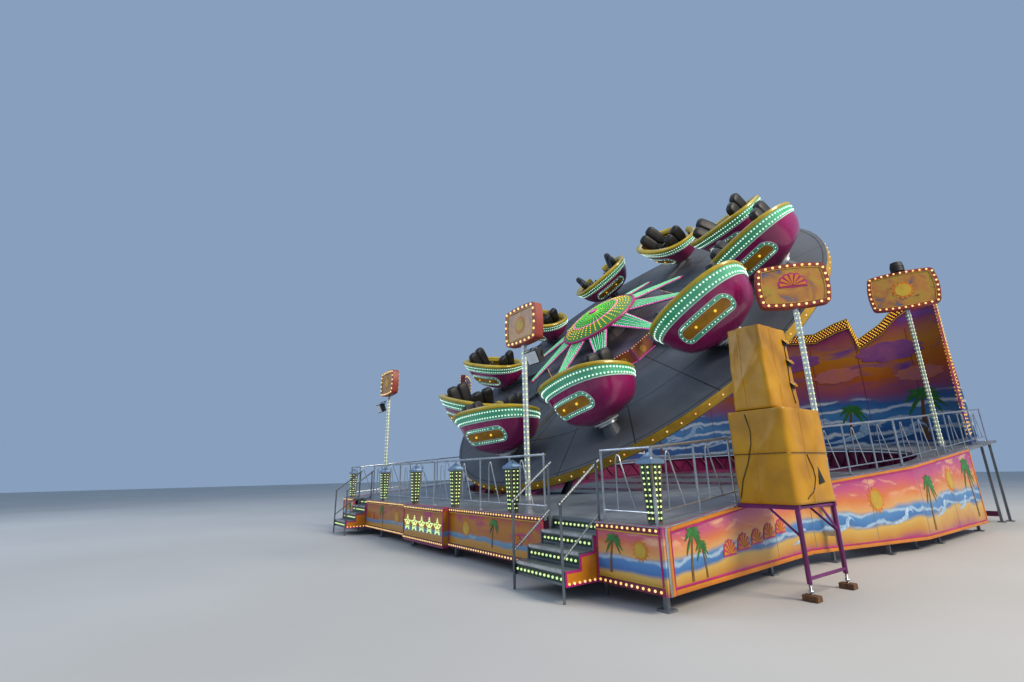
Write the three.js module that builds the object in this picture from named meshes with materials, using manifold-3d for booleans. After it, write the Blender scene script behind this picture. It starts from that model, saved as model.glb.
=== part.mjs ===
// Travelling tilting turntable ride: a raised sloping platform, a big disc that hinges up from the
// front, ten free-spinning gondolas round a light sunburst, painted boards, rails, masts and stairs.
// Units are millimetres, +X runs along the public front, +Y to the back, +Z up.
import * as THREE from 'three';
import { mergeVertices } from 'three/addons/utils/BufferGeometryUtils.js';
import Module from 'manifold-3d';

const wasm = await Module();
wasm.setup();
const { Manifold, Mesh } = wasm;

// Platform
const FRONT_Y = -7800;
const REAR_Y = 7800;
const DECK_FRONT_Z = 970;
const DECK_SLOPE = 0.0875;
const DECK_THICK = 60;
const HALF_FRONT = 6600;
const HALF_WAIST = 6300;
const HALF_REAR = 7000;
const WAIST_Y = -3500;
const FLARE_Y = -100;
const FASCIA_END_Y = 4400;
const FASCIA_BOTTOM = 200;
const FASCIA_THICK = 40;

// Stairs
const STAIR_IN = 4270;
const STAIR_OUT = 5470;
const STAIR_RECESS = 190;
const STEP_RUN = 270;
const STEPS = 4;
const STAIR_BOTTOM = 200;

// Disc and tilt frame, with the disc raised
const DISC_R = 6500;
const DISC_THICK = 120;
const RIM_DEPTH = 240;
const RIM_WALL = 60;
const DISC_Y = -1130;
const DISC_Z = 5860;
const TILT_DEG = 43.8;
const HINGE_Y = -5977;
const HINGE_Z = 950;
const OPENING_R = 6660;
const OPENING_Y = 877;
const FRAME_TOP = -260;
const FRAME_BOTTOM = -460;

// Gondolas
const GONDOLA_COUNT = 10;
const GONDOLA_RING = 5600;
const FIRST_ANGLE = 85;
const AXIS_LEAN = 23;
const RIM_LEAN = 23;
const HALF_LENGTH = 1220;
const HALF_WIDTH = 845;
// How far each gondola has swung round its own axis, in degrees, from its high back facing downhill
const SPINS = [-28, 1, 18, 53, 21, 11, -31, -20, -27, 39];

// Lifting cylinders
const CYL_X = 700;
const CYL_BASE_Y = -4800;
const CYL_BASE_Z = 350;
const CYL_HEAD_ALONG = 4500;
const CYL_HEAD_DEPTH = -650;

const rad = (deg) => (deg * Math.PI) / 180;
const deckTop = (y) => DECK_FRONT_Z + DECK_SLOPE * (y - FRONT_Y);
const SLOPE_ANGLE = Math.atan(DECK_SLOPE);

// Shapes shared by the pieces

function body(geometry) {
  const bare = new THREE.BufferGeometry();
  bare.setAttribute('position', geometry.getAttribute('position').clone());
  if (geometry.index) bare.setIndex(geometry.index.clone());
  const welded = mergeVertices(bare, 1e-3);
  const mesh = new Mesh({
    numProp: 3,
    vertProperties: new Float32Array(welded.getAttribute('position').array),
    triVerts: new Uint32Array(welded.index.array),
  });
  return new Manifold(mesh);
}

function join(parts) {
  return parts.reduce((whole, piece) => whole.add(piece));
}

function surface(solid) {
  const mesh = solid.getMesh();
  const shape = new THREE.BufferGeometry();
  const points = new Float32Array((mesh.vertProperties.length / mesh.numProp) * 3);
  for (let i = 0; i < points.length / 3; i += 1) {
    for (let axis = 0; axis < 3; axis += 1) {
      points[i * 3 + axis] = mesh.vertProperties[i * mesh.numProp + axis];
    }
  }
  shape.setAttribute('position', new THREE.BufferAttribute(points, 3));
  shape.setIndex(new THREE.BufferAttribute(new Uint32Array(mesh.triVerts), 1));
  return shape;
}

function place(solid, matrix) {
  return body(surface(solid).applyMatrix4(matrix));
}

// The same piece on the other side of the ride: x changes sign, each face is wound the other way
function mirrorX(solid) {
  const shape = surface(solid).applyMatrix4(new THREE.Matrix4().makeScale(-1, 1, 1));
  const faces = Array.from(shape.index.array);
  for (let i = 0; i < faces.length; i += 3) {
    [faces[i + 1], faces[i + 2]] = [faces[i + 2], faces[i + 1]];
  }
  shape.setIndex(faces);
  return body(shape);
}

function move(geometry, x, y, z) {
  return geometry.translate(x, y, z);
}

function box(x0, x1, y0, y1, z0, z1) {
  const shape = new THREE.BoxGeometry(x1 - x0, y1 - y0, z1 - z0);
  return body(move(shape, (x0 + x1) / 2, (y0 + y1) / 2, (z0 + z1) / 2));
}

// A bar of round or square section from one point to another
function bar(from, to, radius, sides = 8, endRadius = radius) {
  const a = new THREE.Vector3(...from);
  const b = new THREE.Vector3(...to);
  const along = b.clone().sub(a);
  const shape = new THREE.CylinderGeometry(endRadius, radius, along.length(), sides, 1);
  shape.rotateY(Math.PI / sides);
  const turn = new THREE.Quaternion().setFromUnitVectors(
    new THREE.Vector3(0, 1, 0),
    along.clone().normalize(),
  );
  shape.applyQuaternion(turn);
  const middle = a.add(b).multiplyScalar(0.5);
  return body(move(shape, middle.x, middle.y, middle.z));
}

// A rectangular beam from one point to another; width lies level, depth stands on the beam's side
function beam(from, to, width, depth) {
  const a = new THREE.Vector3(...from);
  const b = new THREE.Vector3(...to);
  const along = b.clone().sub(a);
  const length = along.length();
  const x = along.clone().normalize();
  let side = new THREE.Vector3(0, 0, 1).cross(x);
  if (side.length() < 1e-6) side = new THREE.Vector3(0, 1, 0);
  side.normalize();
  const up = x.clone().cross(side);
  const shape = new THREE.BoxGeometry(length, width, depth);
  shape.applyMatrix4(new THREE.Matrix4().makeBasis(x, side, up));
  const middle = a.add(b).multiplyScalar(0.5);
  return body(move(shape, middle.x, middle.y, middle.z));
}

// A flat outline in plan, raised between two heights that may follow the deck's slope
function slab(outline, bottom, top, hole) {
  const plan = new THREE.Shape(outline.map(([x, y]) => new THREE.Vector2(x, y)));
  if (hole) plan.holes.push(new THREE.Path(hole.map(([x, y]) => new THREE.Vector2(x, y))));
  const shape = new THREE.ExtrudeGeometry(plan, { depth: 1, bevelEnabled: false, steps: 1 });
  const place = shape.getAttribute('position');
  for (let i = 0; i < place.count; i += 1) {
    const y = place.getY(i);
    place.setZ(i, place.getZ(i) > 0.5 ? top(y) : bottom(y));
  }
  return body(shape);
}

function upright(outline, thickness) {
  const face = new THREE.Shape(outline.map(([x, z]) => new THREE.Vector2(x, z)));
  const shape = new THREE.ExtrudeGeometry(face, { depth: thickness, bevelEnabled: false, steps: 1 });
  shape.rotateX(Math.PI / 2);
  return shape;
}

// An outline in y and z, extruded from one x to another
function sideways(outline, x0, x1) {
  const face = new THREE.Shape(outline.map(([y, z]) => new THREE.Vector2(y, z)));
  const shape = new THREE.ExtrudeGeometry(face, { depth: x1 - x0, bevelEnabled: false });
  const turn = new THREE.Matrix4().set(0, 0, 1, x0, 1, 0, 0, 0, 0, 1, 0, 0, 0, 0, 0, 1);
  return body(shape.applyMatrix4(turn));
}

function circle(radius, count, cx = 0, cy = 0, phase = 0) {
  return Array.from({ length: count }, (_, i) => {
    const angle = phase + (2 * Math.PI * i) / count;
    return [cx + radius * Math.cos(angle), cy + radius * Math.sin(angle)];
  });
}

function lathe(profile, count) {
  const shape = new THREE.LatheGeometry(profile.map(([r, z]) => new THREE.Vector2(r, z)), count);
  shape.rotateX(Math.PI / 2);
  return shape;
}

const ride = new THREE.Group();
ride.name = 'tilting_turntable_ride';

function addNode(name, solid, colour, roughness, metalness) {
  const shape = surface(solid);
  shape.computeVertexNormals();
  const finish = new THREE.MeshStandardMaterial({ color: colour, roughness, metalness });
  const node = new THREE.Mesh(shape, finish);
  node.name = name;
  ride.add(node);
}


// Chassis: two long rails on ground pads, with outrigger beams and a cylinder beam under them

const RAIL_X = 1150;
const RAIL_W = 200;
const RAIL_LOW = 300;
const RAIL_TOP = 600;
const CHASSIS_COLOUR = 0x5a1038;
const OUTRIGGER_FRONT = [-7000, 6000];
const OUTRIGGER_MIDDLE = [0, 6750];
const OUTRIGGER_REAR = [7200, 6750];

function squareOutline(x, y, half) {
  return [[x - half, y - half], [x + half, y - half], [x + half, y + half], [x - half, y + half]];
}

function chassisRail() {
  const x = RAIL_X;
  const parts = [box(x - RAIL_W / 2, x + RAIL_W / 2, FRONT_Y + 300, REAR_Y - 200, RAIL_LOW, RAIL_TOP)];
  for (const y of [-6500, -1500, 6500]) {
    parts.push(box(x - 60, x + 60, y - 60, y + 60, 30, RAIL_LOW + 10));
    parts.push(box(x - 200, x + 200, y - 200, y + 200, 0, 40));
  }
  parts.push(box(x - 190, x + 190, HINGE_Y - 150, HINGE_Y + 150, RAIL_TOP - 60, RAIL_TOP));
  for (const inner of [x - 170, x + 130]) {
    parts.push(box(inner, inner + 40, HINGE_Y - 150, HINGE_Y + 150, RAIL_TOP - 10, HINGE_Z + 90));
  }
  return join(parts).subtract(bar([x - 300, HINGE_Y, HINGE_Z], [x + 300, HINGE_Y, HINGE_Z], 50.9, 32));
}
addNode('chassis_rail_right', chassisRail(), CHASSIS_COLOUR, 0.5, 0.5);
addNode('chassis_rail_left', mirrorX(chassisRail()), CHASSIS_COLOUR, 0.5, 0.5);

// Each outrigger reaches to the inner side of a deck leg on either side
function outrigger([y, legX]) {
  const reach = legX - 30.3;
  return box(-reach, reach, y - 60, y + 60, 160, RAIL_LOW - 0.4);
}
addNode('outrigger_front', outrigger(OUTRIGGER_FRONT), CHASSIS_COLOUR, 0.5, 0.5);
addNode('outrigger_middle', join([
  outrigger(OUTRIGGER_MIDDLE),
  box(-90, 90, -90, 90, 30, 170),
  box(-300, 300, -300, 300, 0, 40),
]), CHASSIS_COLOUR, 0.5, 0.5);
addNode('outrigger_rear', outrigger(OUTRIGGER_REAR), CHASSIS_COLOUR, 0.5, 0.5);

function cylinderBeam() {
  const low = CYL_BASE_Y - 120;
  const high = CYL_BASE_Y + 120;
  const parts = [box(-1300, 1300, low, high, 100, 240)];
  for (const side of [-1, 1]) {
    parts.push(box(side * RAIL_X - 90, side * RAIL_X + 90, low, high, 230, RAIL_LOW - 0.4));
    parts.push(box(side * RAIL_X - 60, side * RAIL_X + 60, low + 60, high - 60, 0, 110));
    for (const x of [-110, 80]) {
      const inner = side * CYL_X + x;
      parts.push(box(inner, inner + 30, low, high, 230, CYL_BASE_Z + 120));
    }
  }
  let whole = join(parts);
  for (const x of [-CYL_X, CYL_X]) {
    const pin = bar([x - 200, CYL_BASE_Y, CYL_BASE_Z], [x + 200, CYL_BASE_Y, CYL_BASE_Z], 40.9, 32);
    whole = whole.subtract(pin);
  }
  return whole;
}
addNode('cylinder_beam', cylinderBeam(), CHASSIS_COLOUR, 0.5, 0.5);

// Sloping deck with the round opening that the disc drops into, on its own legs

const DECK_OUTLINE = [
  [STAIR_IN, FRONT_Y], [STAIR_IN, FRONT_Y + STAIR_RECESS],
  [STAIR_OUT, FRONT_Y + STAIR_RECESS], [STAIR_OUT, FRONT_Y],
  [HALF_FRONT, FRONT_Y], [HALF_WAIST, WAIST_Y], [HALF_REAR, FLARE_Y], [HALF_REAR, REAR_Y],
];

function mirrored(points) {
  return points.concat(points.slice().reverse().map(([x, y]) => [-x, y]));
}

const DECK_CUT_FRONT = -4600;
const DECK_CUT_REAR = 5200;
const DECK_JOINT = 0.3;

function deckPlate() {
  const hole = circle(OPENING_R, 72, 0, OPENING_Y);
  let plate = slab(mirrored(DECK_OUTLINE), (y) => deckTop(y) - DECK_THICK, deckTop, hole);
  for (const x of [-1150, 1150]) {
    plate = plate.subtract(box(x - 125, x + 125, HINGE_Y + 60, -5500, 900, 1400));
  }
  return plate;
}

// One section of the deck, cut out of the whole plate, standing on its own screw legs
function deckSection(x0, x1, y0, y1, feet) {
  const parts = [deckPlate().intersect(box(x0, x1, y0, y1, 500, 3000))];
  for (const [x, y] of feet) {
    parts.push(box(x - 30, x + 30, y - 30, y + 30, 20, deckTop(y) - DECK_THICK + 10));
    parts.push(box(x - 90, x + 90, y - 90, y + 90, 0, 25));
  }
  return join(parts);
}

const bothSides = (feet) => feet.concat(feet.map(([x, y]) => [-x, y]));
const DECK_COLOUR = 0x8f979c;
addNode('deck_front', deckSection(-8000, 8000, -9000, DECK_CUT_FRONT - DECK_JOINT, bothSides([
  [6470, -7670], [3300, -7670], [1100, -7670], [6200, -4700], [6000, -7000],
])), DECK_COLOUR, 0.45, 0.6);
const deckRight = deckSection(0, 8000, DECK_CUT_FRONT + DECK_JOINT, DECK_CUT_REAR - DECK_JOINT, [
  [6350, -2800], [6680, -1190], [6750, 0], [6850, 1130], [6850, 4300],
]);
addNode('deck_right', deckRight, DECK_COLOUR, 0.45, 0.6);
addNode('deck_left', mirrorX(deckRight), DECK_COLOUR, 0.45, 0.6);
addNode('deck_rear', deckSection(-8000, 8000, DECK_CUT_REAR + DECK_JOINT, 9000, bothSides([
  [6850, 7650], [6750, 7200], [3000, 7650],
])), DECK_COLOUR, 0.45, 0.6);

// Floor of the well under the disc

const WELL_DROP = 650;
function wellFloor() {
  const top = (y) => deckTop(y) - WELL_DROP;
  const outline = [[-4600, -700], [4600, -700], [5200, 3000], [4000, 6200], [-4000, 6200], [-5200, 3000]];
  const parts = [slab(outline, (y) => top(y) - 40, top)];
  for (const x of [-1150, 1150]) {
    for (const y of [0, 3600]) {
      parts.push(box(x - 60, x + 60, y - 55, y + 55, RAIL_TOP + 0.3, top(y) - 20));
    }
  }
  return join(parts);
}
addNode('well_floor', wellFloor(), 0x7d8488, 0.6, 0.4);

// Painted fascia boards

// A strip that follows the given edge, shifted outwards by the given distance, with mitred corners
function shifted(points, distance) {
  return points.map(([x, y], i) => {
    const before = points[Math.max(i - 1, 0)];
    const after = points[Math.min(i + 1, points.length - 1)];
    const normals = [];
    if (i > 0) normals.push(outward(before, [x, y]));
    if (i + 1 < points.length) normals.push(outward([x, y], after));
    const nx = normals.reduce((sum, n) => sum + n[0], 0);
    const ny = normals.reduce((sum, n) => sum + n[1], 0);
    const scale = normals.length / (nx * nx + ny * ny);
    return [x + nx * scale * distance, y + ny * scale * distance];
  });
}

function outward([x0, y0], [x1, y1]) {
  const run = Math.hypot(x1 - x0, y1 - y0);
  return [(y1 - y0) / run, -(x1 - x0) / run];
}

function fasciaStrip(points) {
  const inner = shifted(points, 0.4);
  const outer = shifted(points, FASCIA_THICK);
  const outline = outer.concat(inner.slice().reverse());
  return slab(outline, () => FASCIA_BOTTOM, (y) => deckTop(y) + 15);
}

const rightSide = [
  [STAIR_OUT + 20, FRONT_Y], [HALF_FRONT, FRONT_Y], [HALF_WAIST, WAIST_Y],
  [HALF_REAR, FLARE_Y], [HALF_REAR, FASCIA_END_Y],
];
addNode('fascia_right', fasciaStrip(rightSide), 0xd98a1f, 0.5, 0);
addNode('fascia_left', mirrorX(fasciaStrip(rightSide)), 0xd98a1f, 0.5, 0);

function fasciaFront() {
  const parts = [];
  const end = STAIR_IN - 20;
  const top = deckTop(FRONT_Y) + 15;
  parts.push(box(-end, end, FRONT_Y - FASCIA_THICK, FRONT_Y - 0.4, FASCIA_BOTTOM, top));
  parts.push(box(-1060, 1060, FRONT_Y - FASCIA_THICK - 140, FRONT_Y - FASCIA_THICK + 10, FASCIA_BOTTOM - 30,
    top));
  return join(parts);
}
addNode('fascia_front', fasciaFront(), 0xa8542a, 0.5, 0);

// Stairs, each with twin hand rails and stepped side panels

function stairs() {
  const parts = [];
  const back = FRONT_Y + STAIR_RECESS - 0.4;
  const rise = (deckTop(back) - STAIR_BOTTOM) / STEPS;
  const inner = STAIR_IN + 25;
  const outer = STAIR_OUT - 25;
  const nosing = (i) => back - (STEPS - i) * STEP_RUN;
  const level = (i) => STAIR_BOTTOM + rise * i;
  for (let i = 1; i < STEPS; i += 1) {
    const front = nosing(i);
    parts.push(box(inner - 6, outer + 6, front, front + STEP_RUN + 18, level(i) - 40, level(i)));
    parts.push(box(inner - 6, outer + 6, front + 14, front + 34, level(i - 1) + 6, level(i) - 30));
  }
  parts.push(box(inner - 6, outer + 6, back - 24, back, level(STEPS - 1) - 30, level(STEPS) - 20));
  const profile = [[nosing(1) - 6, STAIR_BOTTOM], [back, STAIR_BOTTOM], [back, level(STEPS) - 26]];
  for (let i = STEPS; i > 1; i -= 1) {
    profile.push([nosing(i) - (i === STEPS ? 90 : 6), level(i) - 26]);
    profile.push([nosing(i) - (i === STEPS ? 90 : 6), level(i - 1) - 4]);
  }
  profile.push([nosing(1) - 6, level(1) - 4]);
  for (const x of [inner - 20, outer]) {
    parts.push(sideways(profile, x, x + 20));
    parts.push(box(x + 3, x + 17, back - 70, back - 30, 0, STAIR_BOTTOM + 20));
  }
  for (const x of [inner + 10, outer - 10]) {
    const low = nosing(1) - 14;
    const high = FRONT_Y + 90;
    const slope = rise * 2.7;
    parts.push(bar([x, low, 0], [x, low, level(1) + 880], 20, 6));
    parts.push(bar([x, high, level(3) - 20], [x, high, level(1) + slope + 880], 20, 6));
    parts.push(bar([x, low - 30, level(1) + 830], [x, high + 60, level(1) + slope + 900], 20, 6));
    parts.push(bar([x, low, level(1) + 130], [x, high, level(1) + slope + 150], 16, 6));
  }
  return join(parts);
}
addNode('stairs_right', stairs(), 0x9aa1a5, 0.4, 0.8);
addNode('stairs_left', mirrorX(stairs()), 0x9aa1a5, 0.4, 0.8);

// Rails with their light columns

function lightColumn(x, y) {
  const z = deckTop(y) - 0.3;
  const taper = new THREE.CylinderGeometry(150, 95, 760, 4, 1);
  taper.rotateY(Math.PI / 4);
  taper.rotateX(Math.PI / 2);
  const cap = new THREE.CylinderGeometry(5, 190, 120, 4, 1);
  cap.rotateY(Math.PI / 4);
  cap.rotateX(Math.PI / 2);
  const collar = new THREE.CylinderGeometry(190, 190, 50, 4, 1);
  collar.rotateY(Math.PI / 4);
  collar.rotateX(Math.PI / 2);
  return join([
    body(move(taper, x, y, z + 390)),
    body(move(collar, x, y, z + 785)),
    body(move(cap, x, y, z + 865)),
  ]);
}

function railRun(from, to, posts, height = 980) {
  const parts = [];
  const at = (t, up) => {
    const x = from[0] + (to[0] - from[0]) * t;
    const y = from[1] + (to[1] - from[1]) * t;
    return [x, y, deckTop(y) + up];
  };
  parts.push(bar(at(0, height), at(1, height), 22, 6));
  parts.push(bar(at(0, 150), at(1, 150), 18, 4));
  for (let i = 0; i <= posts; i += 1) {
    const t = i / posts;
    const inset = i === 0 ? 0.004 : i === posts ? -0.004 : 0;
    parts.push(bar(at(t + inset, 1.7), at(t + inset, height), 20, 4));
    if (i < posts) {
      for (let k = 1; k <= 2; k += 1) {
        const low = t + (k / 3 - 0.05) / posts;
        const high = t + (k / 3 + 0.05) / posts;
        parts.push(bar(at(low, 150), at(high, height), 11, 4));
      }
    }
  }
  return parts;
}

const RAIL_IN = 110;
const SIDE_RAIL_IN = 150;
addNode('rail_front', join([
  ...railRun([-STAIR_IN + 60, FRONT_Y + RAIL_IN], [STAIR_IN - 60, FRONT_Y + RAIL_IN], 8),
  lightColumn(-3240, FRONT_Y + RAIL_IN), lightColumn(3240, FRONT_Y + RAIL_IN),
  lightColumn(-1060, FRONT_Y + RAIL_IN), lightColumn(1060, FRONT_Y + RAIL_IN),
]), 0xc3c9cc, 0.25, 0.9);

function sideRail() {
  const back = 250;
  const front = HALF_FRONT - SIDE_RAIL_IN;
  const waist = HALF_WAIST - SIDE_RAIL_IN;
  const rear = HALF_REAR - SIDE_RAIL_IN;
  return join([
    ...railRun([STAIR_OUT + 60, FRONT_Y + RAIL_IN], [front, FRONT_Y + RAIL_IN], 1),
    ...railRun([front, FRONT_Y + RAIL_IN], [waist, WAIST_Y], 4),
    ...railRun([waist, WAIST_Y], [rear, FLARE_Y + 100], 4),
    ...railRun([rear, FLARE_Y + 100], [rear, REAR_Y - back], 6),
    lightColumn(HALF_FRONT - 230, FRONT_Y + 180),
  ]);
}
addNode('rail_right', sideRail(), 0xc3c9cc, 0.25, 0.9);
addNode('rail_left', mirrorX(sideRail()), 0xc3c9cc, 0.25, 0.9);

// Sign masts

function signMast(x, y, boardZ, facing, w, h, outboard) {
  const shape = new THREE.Shape();
  const bulge = w * 0.1;
  const round = w * 0.2;
  shape.moveTo(-w + round, -h);
  shape.quadraticCurveTo(0, -h - bulge, w - round, -h);
  shape.quadraticCurveTo(w, -h, w, -h + round);
  shape.quadraticCurveTo(w + bulge, 0, w, h - round);
  shape.quadraticCurveTo(w, h, w - round, h);
  shape.quadraticCurveTo(0, h + bulge, -w + round, h);
  shape.quadraticCurveTo(-w, h, -w, h - round);
  shape.quadraticCurveTo(-w - bulge, 0, -w, -h + round);
  shape.quadraticCurveTo(-w, -h, -w + round, -h);
  const board = new THREE.ExtrudeGeometry(shape, { depth: 160, bevelEnabled: false, curveSegments: 3 });
  board.translate(0, 0, -80);
  board.rotateX(Math.PI / 2);
  board.rotateZ(facing);
  board.translate(x, y, boardZ);
  const parts = [body(board)];
  if (outboard) {
    parts.push(box(x - 38, x + 38, y - 38, y + 38, 330, boardZ - h + 60));
    const inside = slab([[0, -3508], [6339.6, -3508], [7039.6, -108], [0, -108]], () => 0, () => 3000);
    for (const z of [480, 960]) {
      parts.push(box(6380, x, y - 45, y + 45, z, z + 80).subtract(inside));
    }
  } else {
    parts.push(box(x - 38, x + 38, y - 38, y + 38, deckTop(y) + 15, boardZ - h + 60));
    parts.push(slab(squareOutline(x, y, 58), (v) => deckTop(v) + 0.4, (v) => deckTop(v) + 30));
  }
  return join(parts);
}
const MASTS = {
  mast_front_right: [3550, FRONT_Y + 230, 4450, 0, 480, 360],
  mast_side_right: [6630, -3100, 5175, 0.7, 627, 428, true],
  mast_rear_right: [6925, 2720, 6200, 0.35, 720, 490],
};
for (const [name, numbers] of Object.entries(MASTS)) {
  const mast = signMast(...numbers);
  addNode(name, mast, 0xc98a3a, 0.4, 0.3);
  addNode(name.replace('right', 'left'), mirrorX(mast), 0xc98a3a, 0.4, 0.3);
}

// Painted backdrop and its end wings, standing on the rear edge of the deck

function backdrop() {
  const base = deckTop(REAR_Y) + 0.5;
  const half = [
    [0, 7300], [900, 7250], [1800, 6950], [2600, 6800], [3400, 7050], [3850, 7120], [4050, 6240],
    [4800, 6630], [5360, 7120], [6400, 7650], [6620, base],
  ];
  const outline = half.concat(half.slice(1).reverse().map(([x, z]) => [-x, z]));
  const shape = upright(outline.map(([x, z]) => [x, z]), 60);
  shape.translate(0, REAR_Y - 50, 0);
  const parts = [body(shape)];
  for (const x of [-5000, -1800, 1800, 5000]) {
    parts.push(box(x - 40, x + 40, REAR_Y - 60, REAR_Y + 20, base, 6000));
  }
  return join(parts);
}
addNode('backdrop', backdrop(), 0xb06a2c, 0.6, 0);

function wing() {
  const y0 = REAR_Y - 130;
  const base = (y) => deckTop(y) + 0.5;
  const points = [[6460, y0], [6760, y0 - 1650], [6800, y0 - 1640], [6500, y0 + 10]];
  const outline = points.map(([x, y]) => new THREE.Vector2(x, y));
  const shape = new THREE.ExtrudeGeometry(new THREE.Shape(outline), { depth: 1, bevelEnabled: false });
  const place = shape.getAttribute('position');
  for (let i = 0; i < place.count; i += 1) {
    const y = place.getY(i);
    const t = (y0 - y) / 1650;
    place.setZ(i, place.getZ(i) > 0.5 ? 7500 - t * 3900 : base(y));
  }
  return body(shape);
}
addNode('backdrop_wing_right', wing(), 0x6a2a5a, 0.6, 0);
addNode('backdrop_wing_left', mirrorX(wing()), 0x6a2a5a, 0.6, 0);

// Speaker stack on its purple stand beside the platform

const COVER_LOW = 1170;
const COVER_MID = 2500;
const COVER_TOP = 3780;
const STAND_Y0 = -5950;
const STAND_Y1 = -4750;
const STAND_X = 7350;
function fasciaFace(y) {
  return HALF_FRONT + ((HALF_WAIST - HALF_FRONT) * (y - FRONT_Y)) / (WAIST_Y - FRONT_Y) + FASCIA_THICK + 0.5;
}

function speakerStand() {
  const top = COVER_LOW - 0.4;
  const parts = [];
  for (const y of [STAND_Y0 + 60, STAND_Y1 - 60]) {
    parts.push(bar([STAND_X, y, 200], [STAND_X, y, top - 20], 32, 8));
    parts.push(bar([STAND_X, y, 60], [STAND_X, y, 220], 14, 8));
    parts.push(box(STAND_X - 90, STAND_X + 90, y - 60, y + 60, 0, 70));
    parts.push(box(fasciaFace(y - 30), STAND_X + 40, y - 30, y + 30, top - 60, top));
    parts.push(bar([STAND_X, y, 760], [STAND_X - 400, y, top - 30], 18, 6));
  }
  parts.push(bar([STAND_X, STAND_Y0 + 60, 260], [STAND_X, STAND_Y1 - 60, 260], 22, 8));
  parts.push(bar([STAND_X, STAND_Y0 + 60, top - 30], [STAND_X, STAND_Y1 - 60, top - 30], 28, 8));
  parts.push(bar([STAND_X, STAND_Y1 - 60, 780], [STAND_X, STAND_Y1 - 480, top - 30], 18, 6));
  for (const x of [6700, 7000]) {
    parts.push(box(x - 30, x + 30, STAND_Y0 + 60, STAND_Y1 - 60, top - 60, top));
  }
  return join(parts);
}
addNode('speaker_stand', speakerStand(), 0x6d1f6b, 0.4, 0.4);

function cover(x0, x1, y0, y1, z0, z1, shrink) {
  const plan = [[x0, y0], [x1, y0], [x1, y1], [x0, y1]].map(([x, y]) => new THREE.Vector2(x, y));
  const shape = new THREE.ExtrudeGeometry(new THREE.Shape(plan), { depth: 1, bevelEnabled: false });
  const place = shape.getAttribute('position');
  const cx = (x0 + x1) / 2;
  const cy = (y0 + y1) / 2;
  for (let i = 0; i < place.count; i += 1) {
    if (place.getZ(i) > 0.5) {
      place.setXYZ(i, cx + (place.getX(i) - cx) * shrink, cy + (place.getY(i) - cy) * shrink, z1);
    } else {
      place.setZ(i, z0);
    }
  }
  return body(shape);
}
addNode('speaker_cover_lower', cover(6560, 7400, -5950, -4780, COVER_LOW, COVER_MID, 0.98), 0xd9a514, 0.55, 0);
addNode('speaker_cover_upper', cover(6690, 7260, -5930, -5060, COVER_MID + 0.4, COVER_TOP, 0.9), 0xd9a514, 0.55, 0);

// The disc and everything on it are drawn flat, centred on the disc's top face, then raised

const raised = new THREE.Matrix4()
  .makeTranslation(0, DISC_Y, DISC_Z)
  .multiply(new THREE.Matrix4().makeRotationX(rad(TILT_DEG)));

const cosT = Math.cos(rad(TILT_DEG));
const sinT = Math.sin(rad(TILT_DEG));
const hingeAlong = (HINGE_Y - DISC_Y) * cosT + (HINGE_Z - DISC_Z) * sinT;
const hingeUp = -(HINGE_Y - DISC_Y) * sinT + (HINGE_Z - DISC_Z) * cosT;

function tiltFrame() {
  const parts = [];
  const mid = (FRAME_TOP + FRAME_BOTTOM) / 2;
  const far = 5200;
  for (const side of [-1, 1]) {
    const x = side * 1150;
    parts.push(box(x - 90, x + 90, hingeAlong + 120, far, FRAME_BOTTOM, FRAME_TOP));
    parts.push(bar([x - 90, hingeAlong, hingeUp], [x + 90, hingeAlong, hingeUp], 85, 16));
    parts.push(beam([x, hingeAlong + 10, hingeUp - 10], [x, hingeAlong + 420, mid], 180, 150));
    parts.push(bar([x - 185, hingeAlong, hingeUp], [x + 185, hingeAlong, hingeUp], 50, 32));
    const c = side * CYL_X;
    const head = hingeAlong + CYL_HEAD_ALONG;
    for (const inner of [c - 110, c + 80]) {
      parts.push(box(inner, inner + 30, head - 130, head + 130, CYL_HEAD_DEPTH - 110, FRAME_BOTTOM + 10));
    }
  }
  for (const y of [-4800, -3900, hingeAlong + CYL_HEAD_ALONG, 0, 2400, far - 100]) {
    parts.push(box(-1150, 1150, y - 90, y + 90, FRAME_BOTTOM, FRAME_TOP));
  }
  parts.push(box(-3600, 3600, -100, 100, FRAME_BOTTOM + 30, FRAME_TOP));
  const ring = slab(circle(1500, 40), () => FRAME_TOP - 20, () => -DISC_THICK - 0.5);
  const bore = slab(circle(1250, 40), () => FRAME_TOP - 40, () => 0);
  parts.push(ring.subtract(bore));
  return join(parts);
}
addNode('tilt_frame', place(tiltFrame(), raised), 0x6a1646, 0.45, 0.5);

// Turntable: plated disc with ten spoke beams and the leaning gondola bearings

function ringPoint(index, radius) {
  const angle = rad(FIRST_ANGLE - (360 / GONDOLA_COUNT) * index);
  return [radius * Math.cos(angle), radius * Math.sin(angle), angle];
}

function bearingMatrix(index) {
  const [x, y, angle] = ringPoint(index, GONDOLA_RING);
  const inward = new THREE.Vector3(-Math.cos(angle), -Math.sin(angle), 0);
  const axis = new THREE.Vector3(0, 0, Math.cos(rad(AXIS_LEAN))).addScaledVector(inward, Math.sin(rad(AXIS_LEAN)));
  const back = new THREE.Vector3(0, -Math.sin(rad(TILT_DEG)), -Math.cos(rad(TILT_DEG)));
  const along = back.clone().cross(axis).normalize();
  const facing = axis.clone().cross(along).normalize();
  return new THREE.Matrix4()
    .makeBasis(along, facing, axis)
    .setPosition(x, y, 0)
    .multiply(new THREE.Matrix4().makeRotationZ(rad(SPINS[index])));
}

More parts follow.
